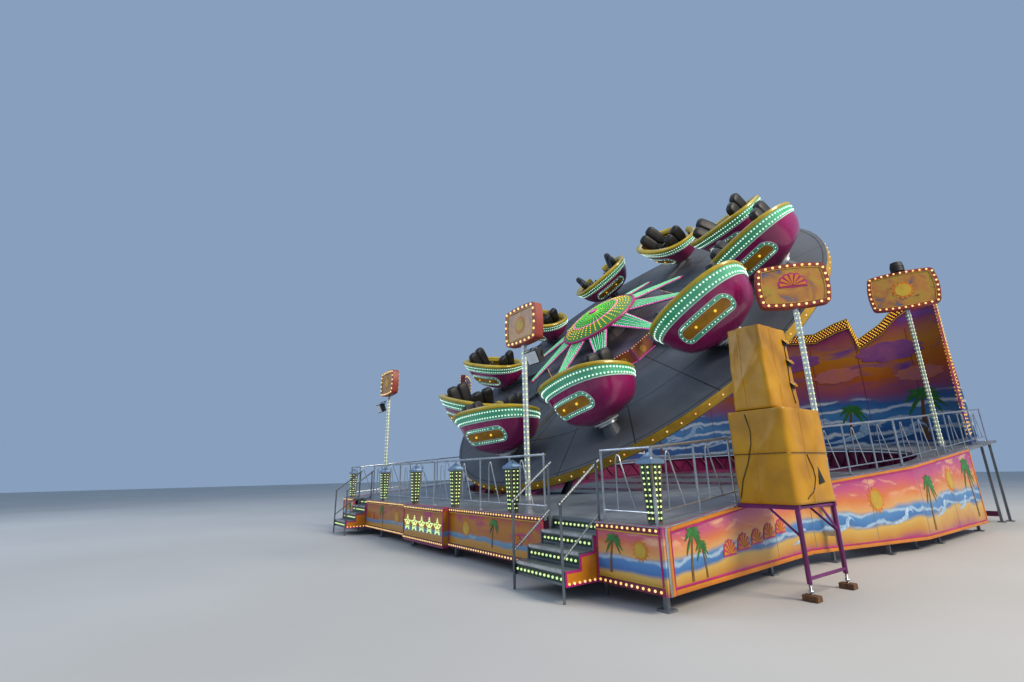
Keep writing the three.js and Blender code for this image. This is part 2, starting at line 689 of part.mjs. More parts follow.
const BEARING_TOP = 330;
function turntable() {
  const plate = slab(circle(DISC_R, 80), () => -DISC_THICK, () => 0);
  const skirt = slab(circle(DISC_R, 80), () => -RIM_DEPTH, () => -DISC_THICK + 10);
  const inside = slab(circle(DISC_R - RIM_WALL, 80), () => -RIM_DEPTH - 10, () => -DISC_THICK);
  const parts = [plate, skirt.subtract(inside)];
  for (let i = 0; i < GONDOLA_COUNT; i += 1) {
    const [x0, y0] = ringPoint(i, 2500);
    const [x1, y1] = ringPoint(i, GONDOLA_RING);
    parts.push(beam([x0, y0, 50], [x1, y1, 50], 160, 120));
    const post = new THREE.CylinderGeometry(150, 230, BEARING_TOP + 160, 16, 1);
    post.rotateX(Math.PI / 2);
    post.translate(0, 0, (BEARING_TOP - 160) / 2);
    const above = box(-7000, 7000, -7000, 7000, -100, 1000);
    parts.push(place(body(post), bearingMatrix(i)).intersect(above));
  }
  return join(parts);
}
addNode('turntable', place(turntable(), raised), 0x6e7377, 0.55, 0.5);

// Hub: ten-sided painted skirt with a domed sunburst and ten light fans

function hubSkirt() {
  const phase = rad(FIRST_ANGLE + 18);
  const shape = new THREE.CylinderGeometry(2480, 2640, 380, 10, 1);
  shape.rotateX(Math.PI / 2);
  shape.rotateZ(phase - Math.PI / 2);
  shape.translate(0, 0, 190.4);
  const column = new THREE.CylinderGeometry(700, 900, 420, 20, 1);
  column.rotateX(Math.PI / 2);
  column.translate(0, 0, 570);
  let whole = join([body(shape), body(column)]);
  for (let i = 0; i < GONDOLA_COUNT; i += 1) {
    const [x0, y0] = ringPoint(i, 2200);
    const [x1, y1] = ringPoint(i, 3000);
    whole = whole.subtract(beam([x0, y0, 45], [x1, y1, 45], 164, 134));
  }
  return whole;
}
addNode('hub_skirt', place(hubSkirt(), raised), 0xc4611d, 0.5, 0);

function sunburst() {
  const dome = lathe([[0, 780.4], [1150, 780.4], [1320, 900], [1320, 980], [1000, 1120], [520, 1230], [0, 1270]], 40);
  const parts = [body(dome)];
  for (let i = 0; i < GONDOLA_COUNT; i += 1) {
    const angle = rad(FIRST_ANGLE - 36 * i);
    const fan = new THREE.Shape([
      new THREE.Vector2(0, -330), new THREE.Vector2(1900, -60),
      new THREE.Vector2(1900, 60), new THREE.Vector2(0, 330),
    ]);
    const shape = new THREE.ExtrudeGeometry(fan, { depth: 60, bevelEnabled: false });
    shape.translate(0, 0, -60);
    shape.rotateY(Math.atan2(430, 1900));
    shape.translate(1180, 0, 950);
    shape.rotateZ(angle);
    parts.push(body(shape));
  }
  return join(parts);
}
addNode('sunburst', place(sunburst(), raised), 0x57b368, 0.4, 0.1);

// Gondolas: open boat-shaped shells on a leaning spin axis, with the high back facing downhill

function shellRing(level, halfLength, halfWidth, shear, count) {
  return Array.from({ length: count }, (_, i) => {
    const t = (2 * Math.PI * i) / count;
    const c = Math.cos(t);
    const s = Math.sin(t);
    const x = halfLength * Math.sign(c) * Math.abs(c) ** 0.8;
    const y = halfWidth * Math.sign(s) * Math.abs(s) ** 0.8;
    return [x, y, level + shear * y];
  });
}

function loft(rings) {
  const count = rings[0].length;
  const points = [];
  const faces = [];
  for (const ring of rings) points.push(...ring);
  for (let r = 0; r + 1 < rings.length; r += 1) {
    for (let i = 0; i < count; i += 1) {
      const j = (i + 1) % count;
      const a = r * count + i;
      const b = r * count + j;
      const c = (r + 1) * count + j;
      const d = (r + 1) * count + i;
      faces.push(a, b, c, a, c, d);
    }
  }
  const cap = (ring, flip) => {
    const middle = points.length;
    const start = ring * count;
    const sum = [0, 0, 0];
    for (const p of rings[ring]) p.forEach((value, k) => { sum[k] += value / count; });
    points.push(sum);
    for (let i = 0; i < count; i += 1) {
      const j = (i + 1) % count;
      if (flip) faces.push(middle, start + j, start + i);
      else faces.push(middle, start + i, start + j);
    }
  };
  cap(0, true);
  cap(rings.length - 1, false);
  const shape = new THREE.BufferGeometry();
  shape.setAttribute('position', new THREE.BufferAttribute(new Float32Array(points.flat()), 3));
  shape.setIndex(faces);
  return body(shape);
}

const SHEAR = Math.tan(rad(RIM_LEAN));
const HULL_LOW = BEARING_TOP + 0.5;
function gondolaHull() {
  const count = 20;
  const outer = loft([
    shellRing(HULL_LOW, 400, 315, 0, count),
    shellRing(HULL_LOW + 120, 730, 540, SHEAR * 0.15, count),
    shellRing(HULL_LOW + 420, 1037, 730, SHEAR * 0.5, count),
    shellRing(HULL_LOW + 760, HALF_LENGTH - 58, HALF_WIDTH - 48, SHEAR * 0.85, count),
    shellRing(HULL_LOW + 960, HALF_LENGTH, HALF_WIDTH, SHEAR, count),
    shellRing(HULL_LOW + 1010, HALF_LENGTH, HALF_WIDTH, SHEAR, count),
  ]);
  const inner = loft([
    shellRing(HULL_LOW + 170, 615, 430, 0, count),
    shellRing(HULL_LOW + 440, 955, 650, SHEAR * 0.5, count),
    shellRing(HULL_LOW + 770, HALF_LENGTH - 150, HALF_WIDTH - 140, SHEAR * 0.85, count),
    shellRing(HULL_LOW + 1100, HALF_LENGTH - 110, HALF_WIDTH - 100, SHEAR, count),
  ]);
  const gap = box(-360, 360, -1300, -300, HULL_LOW + 330, HULL_LOW + 1500);
  return outer.subtract(inner).subtract(gap);
}

function gondolaSeats() {
  const floor = HULL_LOW + 170.3;
  const parts = [box(-420, 420, -250, 250, floor, floor + 60)];
  for (const side of [-1, 1]) {
    const bench = box(-540, -180, -290, 290, floor + 52, floor + 330);
    const back = new THREE.BoxGeometry(130, 800, 1000);
    back.rotateY(-0.22);
    back.translate(-680, 0, floor + 780);
    const unit = join([bench, body(back), box(-640, -500, -290, 290, floor + 280, floor + 420)]);
    parts.push(side < 0 ? unit : mirrorX(unit));
  }
  return join(parts);
}

for (let i = 0; i < GONDOLA_COUNT; i += 1) {
  const at = raised.clone().multiply(bearingMatrix(i));
  const label = String(i + 1).padStart(2, '0');
  addNode(`gondola_${label}_hull`, place(gondolaHull(), at), 0x8a1552, 0.2, 0);
  addNode(`gondola_${label}_seats`, place(gondolaSeats(), at), 0x15161a, 0.5, 0);
}

// Lifting cylinders between the chassis and the tilt frame

const headY = DISC_Y + (hingeAlong + CYL_HEAD_ALONG) * cosT - CYL_HEAD_DEPTH * sinT;
const headZ = DISC_Z + (hingeAlong + CYL_HEAD_ALONG) * sinT + CYL_HEAD_DEPTH * cosT;
const cylVector = new THREE.Vector3(0, headY - CYL_BASE_Y, headZ - CYL_BASE_Z);
const CYL_LENGTH = cylVector.length();
const cylUnit = cylVector.clone().normalize();
const alongCyl = (x, distance) => [
  x, CYL_BASE_Y + cylUnit.y * distance, CYL_BASE_Z + cylUnit.z * distance,
];

function barrel(x) {
  const neck = bar(alongCyl(x, 0), alongCyl(x, 280), 60, 16);
  const tube = bar(alongCyl(x, 210), alongCyl(x, 2500), 95, 20);
  const bore = bar(alongCyl(x, 300), alongCyl(x, 2600), 60.7, 20);
  const eye = bar([x - 75, CYL_BASE_Y, CYL_BASE_Z], [x + 75, CYL_BASE_Y, CYL_BASE_Z], 85, 16);
  const pin = bar([x - 125, CYL_BASE_Y, CYL_BASE_Z], [x + 125, CYL_BASE_Y, CYL_BASE_Z], 40, 32);
  return join([tube.subtract(bore), neck, eye, pin]);
}

function rod(x) {
  const shaft = bar(alongCyl(x, 1400), alongCyl(x, CYL_LENGTH), 60, 20);
  const head = bar([x - 70, headY, headZ], [x + 70, headY, headZ], 80, 16);
  return join([shaft, head]);
}

for (const side of [-1, 1]) {
  const label = side < 0 ? 'left' : 'right';
  addNode(`cylinder_barrel_${label}`, barrel(side * CYL_X), 0x33363a, 0.4, 0.6);
  addNode(`cylinder_rod_${label}`, rod(side * CYL_X), 0xd0d4d8, 0.15, 1);
}

export default ride;
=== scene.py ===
# %% [markdown]
# # A tilting turntable ride in Blender
# The real ride is a raised, sloping platform with a 13 metre disc that hinges up from the front edge.
# Ten gondolas spin freely on the disc round a light sunburst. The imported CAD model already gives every
# size and every moving body, so this lesson adds the looks: glossy shells, seats, bulbs, painted boards.

# %% Load the frame
import math

import bmesh
import bpy
import numpy as np
from mathutils import Matrix


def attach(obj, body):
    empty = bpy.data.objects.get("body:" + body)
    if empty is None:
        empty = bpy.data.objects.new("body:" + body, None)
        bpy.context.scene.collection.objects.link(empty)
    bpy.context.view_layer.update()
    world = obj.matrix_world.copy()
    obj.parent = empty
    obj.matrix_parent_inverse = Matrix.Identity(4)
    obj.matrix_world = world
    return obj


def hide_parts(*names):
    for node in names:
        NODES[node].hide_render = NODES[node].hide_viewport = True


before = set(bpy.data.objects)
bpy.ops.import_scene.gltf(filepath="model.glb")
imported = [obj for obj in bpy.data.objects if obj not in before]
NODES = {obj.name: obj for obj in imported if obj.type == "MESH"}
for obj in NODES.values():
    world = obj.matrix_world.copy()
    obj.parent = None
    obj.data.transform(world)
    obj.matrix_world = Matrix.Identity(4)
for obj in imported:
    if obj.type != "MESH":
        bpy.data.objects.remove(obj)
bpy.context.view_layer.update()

UP = np.array([0, 0, 1.0])
FRONT = np.array([0, -1.0, 0])

# %% [markdown]
# ## Colours and nodes
# Painters mix colours by eye in sRGB, and Blender's shaders work in linear light, so one function turns
# a hex code into linear values. One more function adds a node with its values, links and settings. A
# value may be a number, a colour, a socket, or another node, whose first live output is taken. A range
# node lists its value, the two ends that come in and the two that go out; a mix lists its share first.

# %% Colour and node helpers
def linear(code):
    """A hex colour such as '#c06020' as linear red, green, blue and alpha."""
    part = np.array([int(code[i:i + 2], 16) for i in (1, 3, 5)]) / 255
    light = np.where(part <= 0.04045, part / 12.92, ((part + 0.055) / 1.055) ** 2.4)
    return (*map(float, light), 1.0)


def add(tree, kind, values=(), stops=(), **settings):
    """Adds one shader node: its values are named, or listed in the order of its sockets."""
    node = tree.nodes.new("ShaderNode" + kind)
    for name, value in settings.items():
        setattr(node, name, value)
    for number, (place, code) in enumerate(stops):
        ramp = node.color_ramp.elements
        stop = ramp[number] if number < len(ramp) else ramp.new(place)
        stop.position = place
        stop.color = linear(code)
    for name, value in (values if isinstance(values, dict) else dict(enumerate(values))).items():
        socket = node.inputs[name]
        if isinstance(value, bpy.types.Node):
            value = next(out for out in value.outputs if out.enabled)
        if isinstance(value, bpy.types.NodeSocket):
            tree.links.new(value, socket)
        else:
            socket.default_value = value
    return node


def new_material(name):
    """An empty material, its node tree, and its Object coordinates: metres in the ride's frame."""
    material = bpy.data.materials.new(name)
    material.use_nodes = True
    tree = material.node_tree
    tree.nodes.clear()
    return material, tree, add(tree, "TexCoord").outputs["Object"]


print("colour and node helpers ready")

# %% [markdown]
# ## Paint, metal and plastic
# Most of the ride is painted steel or moulded plastic. Real paint is never one flat colour: it has
# slightly uneven gloss, a faint orange-peel ripple about 8 mm across, and dust that gathers in broad
# patches. This recipe mixes a main colour with a worn one by noise in real metres, and it drives the
# roughness and a small bump from finer noise.

# %% Worn paint
def painted(name, code, worn, rough=0.4, metal=0.0, coat=0.0, patch_m=0.6, grain_mm=8, bump=0.15):
    """Main colour to worn colour by noise of patch_m; roughness follows it; bump by noise of grain_mm."""
    material, tree, place = new_material(name)
    patches = add(tree, "TexNoise", {"Vector": place, "Scale": 1 / patch_m, "Detail": 8.0, "Roughness": 0.65})
    spread = add(tree, "MapRange", [patches, 0.38, 0.72])
    tint = add(tree, "MixRGB", [spread, linear(code), linear(worn)])
    gloss = add(tree, "MapRange", [patches, 0.3, 0.8, rough, rough + 0.18])
    grain = add(tree, "TexNoise", {"Vector": place, "Scale": 250 / grain_mm, "Detail": 4.0})
    relief = add(tree, "Bump", {"Height": grain, "Strength": bump, "Distance": 0.002})
    shader = add(tree, "BsdfPrincipled", {"Base Color": tint, "Roughness": gloss, "Normal": relief,
                                          "Metallic": metal, "Coat Weight": coat})
    add(tree, "OutputMaterial", {"Surface": shader})
    return material


# Enamel on welded steel: dark and glossy, worn dull in broad patches. The blocks are sawn wood, with a
# coarse grain, and the cylinder rods are hard chrome, which mirrors the sky.
CHASSIS_PAINT = painted("chassis_magenta_enamel", "#6d1548", "#3c1029", 0.42)
TILT_PAINT = painted("tilt_frame_magenta_enamel", "#7a1a50", "#45132f", 0.4)
STAND_PAINT = painted("stand_purple_enamel", "#7c2470", "#5a1c50", 0.35)
WOOD_BLOCK = painted("sawn_softwood_block", "#7d5a3a", "#4b3526", 0.8, patch_m=0.05, bump=0.5)
BARREL_PAINT = painted("cylinder_dark_enamel", "#33363b", "#1f2124", 0.4)
RAIL_STEEL = painted("rail_polished_steel", "#c9ced2", "#8f969b", 0.24, metal=0.95, patch_m=0.25)
POLE_STEEL = painted("mast_brushed_aluminium", "#c4c9ce", "#9aa1a7", 0.28, metal=0.9, patch_m=0.3)
ROD_CHROME = painted("cylinder_rod_hard_chrome", "#d9dde0", "#bfc4c8", 0.08, metal=1.0, bump=0.02)
# Moulded shells have a polished gelcoat that shows sharp highlights, and their trim is satin enamel.
HULL_GEL = painted("gondola_magenta_gelcoat", "#a01463", "#7f0f50", 0.2, coat=0.6, patch_m=1.2, bump=0.04)
HULL_INSIDE = painted("gondola_yellow_lining", "#b98a14", "#7e5c10", 0.45)
RIM_YELLOW = painted("gondola_rim_yellow_gelcoat", "#cbae1a", "#a08a10", 0.28,
                     coat=0.4, patch_m=0.5, bump=0.05)
BAND_MINT = painted("gondola_mint_band", "#4cc08a", "#7fd8b2", 0.3, patch_m=0.9)
BAND_EDGE = painted("gondola_white_trim", "#dfe7e4", "#b9c7c2", 0.35)
TRACK_ORANGE = painted("racetrack_orange_enamel", "#c08a16", "#96590f", 0.35, patch_m=0.3)
# Vinyl over foam is black with a fine leather grain, and the tubes of the lap bars are glossy black.
SEAT_VINYL = painted("seat_black_vinyl_foam", "#0c0d10", "#1b1d22", 0.45, patch_m=0.2, grain_mm=4, bump=0.3)
BAR_BLACK = painted("restraint_black_tube", "#15171b", "#2b2e34", 0.35)
# The hub, the columns and the boards have brushed or sprayed enamel: even in colour, with a soft gloss.
DISC_RIM = painted("disc_rim_yellow_enamel", "#bf971c", "#876512", 0.4)
SKIRT_GREY = painted("hub_skirt_mauve_grey_enamel", "#6f646d", "#4c434b", 0.4, patch_m=0.7)
HUB_BOARD = painted("hub_board_burnt_orange_enamel", "#b05c1a", "#85391a", 0.4, patch_m=0.3)
COLUMN_GREEN = painted("light_column_dark_green", "#1d3a28", "#12251b", 0.35)
CAP_BLUE = painted("column_cap_blue_silver", "#8fa9c4", "#6d87a3", 0.25, metal=0.6)
BOARD_BACK = painted("board_back_grey_primer", "#8b8d8c", "#6b6d6c", 0.6)
BORDER_ORANGE = painted("board_border_orange", "#e08a1d", "#c4701a", 0.32)
BORDER_PINK = painted("board_border_magenta", "#c81f7c", "#98185f", 0.32)
BAND_MAROON = painted("board_band_maroon", "#7e1f3f", "#5a1530", 0.38)
LINE_YELLOW = painted("board_line_yellow", "#d9b53a", "#a9852a", 0.35)
SIGN_RED = painted("sign_border_brick_red", "#a3412f", "#7c2d24", 0.38)
LAMP_BLACK = painted("floodlight_black_case", "#141518", "#26282c", 0.5)
# The motifs are brushed by hand, so two shades mix in streaks of a few centimetres.
LEAF_GREEN = painted("painted_palm_leaf", "#3f8a3a", "#1f5a2c", 0.4, patch_m=0.12)
TRUNK_BROWN = painted("painted_palm_trunk", "#6b4a26", "#8a6a3a", 0.45, patch_m=0.06)
WAVE_WHITE = painted("painted_wave_blue_white", "#7fb4dc", "#dfeaf2", 0.35, patch_m=0.08)
WHITE_CASE = painted("white_enamel_case", "#dfe2e4", "#b4b8bb", 0.35)
print("paints and metals", len(bpy.data.materials))

# %% [markdown]
# ## Bulbs and light tubes
# Fairground bulbs are small frosted domes. By day they read as bright dots rather than as lamps, so
# they get a pale base colour, a soft glow and a glossy cap. Light tubes are the same, in strong green
# and pink. A little noise makes some bulbs warmer and weaker than their neighbours, as on a real board.

# %% Bulb glass
def lit(name, code, other, glow):
    """Frosted glass that glows, with its colour varied by noise about 90 mm across."""
    material, tree, place = new_material(name)
    vary = add(tree, "TexNoise", {"Vector": place, "Scale": 11.0, "Detail": 0.0})
    mix = add(tree, "ValToRGB", [vary], [(0.35, code), (0.65, other)])
    shader = add(tree, "BsdfPrincipled", {"Base Color": mix, "Emission Color": mix, "Roughness": 0.25,
                                          "Emission Strength": glow})
    add(tree, "OutputMaterial", {"Surface": shader})
    return material


BULB_WARM = lit("bulb_warm_frosted", "#ffe2a0", "#ffd070", 0.9)
BULB_GREENISH = lit("bulb_pale_green_frosted", "#e6f29a", "#c8f0a0", 0.9)
BULB_WHITE = lit("bulb_white_frosted", "#f2fff4", "#d2f5e2", 0.9)
BULB_YELLOW = lit("bulb_yellow_frosted", "#ffd84a", "#f0b42a", 0.8)
BULB_ORANGE = lit("bulb_orange_frosted", "#ff9a5a", "#ffd9a0", 0.8)
BULB_GREEN = lit("bulb_green_frosted", "#9be04a", "#4fd24e", 0.45)
TUBE_GREEN = lit("light_tube_green", "#25c860", "#3fdc7c", 0.4)
TUBE_PALE = lit("light_tube_pale_mint", "#cfeadc", "#a4d8be", 0.25)
TUBE_PINK = lit("light_tube_pink", "#e070b8", "#c84a9c", 0.6)
print("bulb glass", [m.name for m in (BULB_WARM, BULB_WHITE, TUBE_GREEN)])

# %% [markdown]
# ## Surfaces from arrays
# Each new piece is computed as whole arrays. A grid of points becomes quads, a closed profile carried
# along a path becomes a moulding or a tube, and a flat outline becomes a plate with softened edges.
# A shape is its points with its faces. With a finish number it is a part, and a piece is a list of them.

# %% Grid, sweep, tube and plate
def patch(grid, wrap_rows=False, wrap_columns=False, ends=()):
    """Quads join each point of a grid to its next row and column, wrapping where asked; ends are filled."""
    rows, columns = grid.shape[:2]
    i = np.arange(rows if wrap_rows else rows - 1)[:, None]
    j = np.arange(columns if wrap_columns else columns - 1)[None, :]
    right = (j + 1) % columns
    below = (i + 1) % rows * columns
    quads = np.stack(np.broadcast_arrays(i * columns + j, i * columns + right, below + right, below + j), -1)
    caps = [np.arange(columns)[None] + row % rows * columns for row in ends]
    return grid.reshape(-1, 3), [quads.reshape(-1, 4)] + caps


def unit(vectors):
    """Each vector divided by its own length."""
    vectors = np.asarray(vectors, float)
    return vectors / np.maximum(np.linalg.norm(vectors, axis=-1, keepdims=True), 1e-12)


def circle(count, radius=1.0, height=0.0):
    """Point k at the angle 360 k / count: x = r cos, y = r sin, at one height."""
    turn = np.arange(count) * 2 * np.pi / count
    return np.c_[radius * np.cos(turn), radius * np.sin(turn), np.full(count, height)]


def rectangle(half_x, half_y, middle=(0, 0)):
    """The four corners of a rectangle, anticlockwise."""
    return np.array([(-1, -1), (1, -1), (1, 1), (-1, 1)]) * [half_x, half_y] + middle


def walked(line):
    """The distance walked along a line of points, up to each of them."""
    return np.r_[0, np.linalg.norm(np.diff(line, axis=0), axis=1).cumsum()]


def at_walk(line, distance):
    """The points at given distances along a line."""
    return np.stack([np.interp(distance, walked(line), values) for values in np.transpose(line)], -1)


def flat_bar(low, high, thick):
    """A profile from low to high across a strip, sunk 1 mm into its board and standing out by thick."""
    return [(low, -.001), (low, thick), (high, thick), (high, -.001)]


def sweep(path, side, up, profile, closed=False):
    """Point (i, j) = path i + a of j times side i + b of j times up i; open ends are capped."""
    path, profile = np.asarray(path, float), np.asarray(profile, float)
    side = np.broadcast_to(side, path.shape)[:, None]
    up = np.broadcast_to(up, path.shape)[:, None]
    points = path[:, None] + profile[None, :, :1] * side + profile[None, :, 1:] * up
    return patch(points, closed, True, () if closed else (0, -1))


def tube(path, radius, sides=8, closed=False):
    """A round profile carried along a path, with its side vector square to the path and to one fixed axis."""
    path = np.asarray(path, float)
    ahead = unit(np.roll(path, -1, 0) - np.roll(path, 1, 0) if closed else np.gradient(path, axis=0))
    fixed = np.eye(3)[np.argmin(np.abs(ahead).max(0))]
    side = unit(np.cross(ahead, fixed))
    return sweep(path, side, np.cross(side, ahead), circle(sides, radius)[:, :2], closed)


def inset(outline, distance):
    """An anticlockwise outline moved inwards: each corner goes along the sum of its two normals."""
    outline = np.asarray(outline, float)
    edge = unit(np.roll(outline, -1, 0) - outline)
    normal = np.c_[edge[:, 1], -edge[:, 0]]
    before = np.roll(normal, 1, 0)
    share = np.maximum(1 + (normal * before).sum(1, keepdims=True), 0.3)
    return outline - distance * (normal + before) / share


def inset_rings(outline, rings):
    """One copy of an outline for each (inset distance, height)."""
    return np.stack([np.c_[inset(outline, distance), np.full(len(outline), z)] for distance, z in rings])


def plate(outline, low, high, soft=0.003):
    """Four rings of one outline, from the inset back edge to the inset front edge, with both faces filled."""
    rings = inset_rings(outline, [(soft, low), (0, low + soft), (0, high - soft), (soft, high)])
    return patch(rings, False, True, (0, -1))


def border(outline, width, low, high):
    """A flat ring of the given width inside an outline: outer and inner outlines, each low and high."""
    return patch(inset_rings(outline, [(0, low), (0, high), (width, high), (width, low)]), True, True)


print("a square plate has", len(plate(rectangle(1, 1), 0, 0.1)[0]), "points")

# %% [markdown]
# A bulb is repeated thousands of times, so it has only seven sides and two rings: a dome of about 26
# triangles. The same array sum makes all the bulbs of a row at once, from their centres and the way
# each one faces. Rounded pads come from a cube whose points are pulled on to a superellipsoid.

# %% Bulbs and rounded pads
def repeated(points, faces):
    """The faces of one shape for each of its copies, where points has one row of points for each copy."""
    start = np.arange(len(points))[:, None, None] * points.shape[1]
    return points.reshape(-1, 3), [(block + start).reshape(-1, block.shape[1]) for block in faces]


def bulbs(centres, radius, outward=(0, 0, 1), sides=7):
    """Ring k of each bulb = centre + radius * (spread k * spoke + rise k * outward), and one top point."""
    centres = np.atleast_2d(np.asarray(centres, float))
    outward = unit(np.broadcast_to(outward, centres.shape))
    fixed = np.where(np.abs(outward[:, 2:]) < 0.8, [[0, 0, 1.0]], [[0, 1.0, 0]])
    across = unit(np.cross(outward, fixed))
    upward = np.cross(outward, across)
    c, s, _ = circle(sides).T[:, None, :, None]
    spokes = c * across[:, None] + s * upward[:, None]
    rings = [centres[:, None] + radius * (spread * spokes + rise * outward[:, None])
             for spread, rise in ((1, -0.15), (0.86, 0.6))]
    points = np.concatenate(rings + [centres[:, None] + radius * 1.05 * outward[:, None]], 1)
    k = np.arange(sides)
    after = (k + 1) % sides
    quads = np.stack([k, after, after + sides, k + sides], -1)
    caps = np.stack([k + sides, after + sides, np.full(sides, 2 * sides)], -1)
    return repeated(points, [quads, caps, k[None, ::-1]])


def pad(half, detail=6, power=4.0):
    """Cube points divided by (|x|^p + |y|^p + |z|^p)^(1/p), scaled by the half sizes: a rounded cushion."""
    line = np.linspace(-1, 1, detail + 1)
    face = np.stack([*np.meshgrid(line, line, indexing="ij"), np.ones((detail + 1, detail + 1))], -1)
    _, (quads,) = patch(face)
    u, v, one = face.reshape(-1, 3).T
    six = (u, v, one), (v, u, -one), (v, one, u), (u, -one, v), (one, u, v), (-one, v, u)
    points = np.concatenate([np.stack(side, -1) for side in six])
    faces = np.concatenate([quads + k * len(u) for k in range(6)])
    points = points / (np.abs(points) ** power).sum(1, keepdims=True) ** (1 / power)
    points, same = np.unique(np.round(points, 6), axis=0, return_inverse=True)
    return points * np.asarray(half), [same.reshape(-1)[faces]]


print("one bulb has", len(bulbs([0, 0, 0], 1)[0]), "points, one pad", len(pad([1, 1, 1])[0]))

# %% [markdown]
# The next helpers carry parts about and turn them into a Blender object. The points are already in the
# ride's own frame, so the object stays at the origin. Closed parts get their normals recalculated
# outwards, edges sharper than the crease angle stay crisp, and the piece rides on a body of the CAD model.

# %% Objects from parts
def moved(matrix, part):
    """The same shape or part with its points carried through a 4 by 4 matrix."""
    return part[0] @ matrix[:3, :3].T + matrix[:3, 3], *part[1:]


def shifted(place, part):
    """The same shape or part moved without a turn."""
    return part[0] + np.asarray(place, float), *part[1:]


def mirrored(parts):
    """The same parts on the other side of the ride: x changes sign."""
    return [(part[0] * [-1, 1, 1], *part[1:]) for part in parts]


def link(piece):
    """Puts an object into the scene."""
    bpy.context.scene.collection.objects.link(piece)
    return piece


def build(name, parts, finishes, body="base", crease=32):
    """One mesh from parts of (points, faces, finish number or none for 0), riding on a body of the frame."""
    points, corners, totals, marks, start = [], [], [], [], 0
    for shape, faces, *finish in parts:
        for block in faces:
            corners.append((block + start).ravel())
            totals.append(np.full(len(block), block.shape[1]))
            marks.append(np.full(len(block), finish or 0))
        points.append(shape)
        start += len(shape)
    points, corners, totals, marks = map(np.concatenate, (points, corners, totals, marks))
    mesh = bpy.data.meshes.new(name)
    mesh.vertices.add(len(points))
    mesh.vertices.foreach_set("co", points.astype(np.float32).ravel())
    mesh.loops.add(len(corners))
    mesh.loops.foreach_set("vertex_index", corners.astype(np.int32))
    mesh.polygons.add(len(totals))
    mesh.polygons.foreach_set("loop_start", (np.cumsum(totals) - totals).astype(np.int32))
    mesh.polygons.foreach_set("material_index", marks.astype(np.int32))
    for finish in finishes:
        mesh.materials.append(finish)
    mesh.update(calc_edges=True)
    work = bmesh.new()
    work.from_mesh(mesh)
    bmesh.ops.remove_doubles(work, verts=work.verts, dist=2e-5)
    bmesh.ops.recalc_face_normals(work, faces=work.faces)
    work.to_mesh(mesh)
    work.free()
    mesh.shade_smooth()
    mesh.set_sharp_from_angle(angle=math.radians(crease))
    piece = link(bpy.data.objects.new(name, mesh))
    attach(piece, body)
    print(name, "on", body, len(totals), "faces")
    return piece


def dress(finish, *nodes):
    """Gives CAD nodes their finish."""
    for node in nodes:
        mesh = NODES[node].data
        mesh.materials.clear()
        mesh.materials.append(finish)


print("build and dress ready")

# %% [markdown]
# ## Where the disc and the gondolas are
# The disc has its own plane, tilted 43.8 degrees, and each gondola leans 23 degrees towards the hub and
# has stopped at its own angle of spin.
# A lesson could work in world axes throughout, but the shapes are far simpler in the plane of the part
# that carries them. These matrices carry points from the disc and from each gondola to the frame.

# %% Disc and gondola matrices
TILT = math.radians(43.8)
LEAN = math.radians(23)
SPINS = np.radians([-28, 1, 18, 53, 21, 11, -31, -20, -27, 39])
SPOKES = np.radians(85 - 36 * np.arange(10))
DISC_CENTRE = (0, -1.13, 5.86)
GONDOLA_REACH = 5.6


def frame_of(x_axis, y_axis, z_axis, centre):
    """A 4 by 4 matrix whose columns are three axes and a centre."""
    matrix = np.eye(4)
    matrix[:3, :4] = np.stack([x_axis, y_axis, z_axis, centre], 1)
    return matrix


def spun(axis, angle, centre=(0, 0, 0)):
    """A turn by an angle about the x, y or z axis, and then a move to a centre."""
    j = ("xyz".index(axis) + 1) % 3
    k = (j + 1) % 3
    axes = np.eye(3)
    axes[j, j] = axes[k, k] = math.cos(angle)
    axes[j, k] = math.sin(angle)
    axes[k, j] = -math.sin(angle)
    return frame_of(*axes, centre)


def facing(out, centre, side=None):
    """Axes of a flat shape: z comes out of it, x runs along it, and y is up when no side is given."""
    side = np.cross(UP, out) if side is None else side
    return frame_of(side, np.cross(out, side), out, centre)


def gondola_matrix(angle, spin):
    """Up is the leaning spin axis; the second axis faces down the slope of the disc before the spin."""
    spoke = np.array([math.cos(angle), math.sin(angle), 0])
    axis = np.array([0, 0, math.cos(LEAN)]) - spoke * math.sin(LEAN)
    along = unit(np.cross([0, -math.sin(TILT), -math.cos(TILT)], axis))
    start = frame_of(along, np.cross(axis, along), axis, spoke * GONDOLA_REACH)
    return DISC @ start @ spun("z", spin)


DISC = spun("x", TILT, DISC_CENTRE)
GONDOLAS = {f"gondola_{number:02d}": gondola_matrix(angle, spin)
            for number, angle, spin in zip(range(1, 11), SPOKES, SPINS)}
print("gondola 1 stands at", GONDOLAS["gondola_01"][:3, 3].round(2))

# %% [markdown]
# ## The gondola shell
# The real shell is glass-reinforced plastic, laid up in a mould and polished. Its plan is close to a
# superellipse, and its rim slopes up to the high side by 23 degrees. The same height table as the CAD
# model is joined here by smooth curves instead of straight bands, which gives the round belly.

# %% Gondola shell surface
RINGS = np.array([(0, .40, .315, 0), (.12, .73, .54, .15), (.42, 1.037, .73, .5), (.76, 1.162, .797, .85),
                  (.96, 1.22, .845, 1), (1.01, 1.22, .845, 1)])
HULL_FOOT = 0.3305
WALL = 0.11
HALF_GAP = 0.36


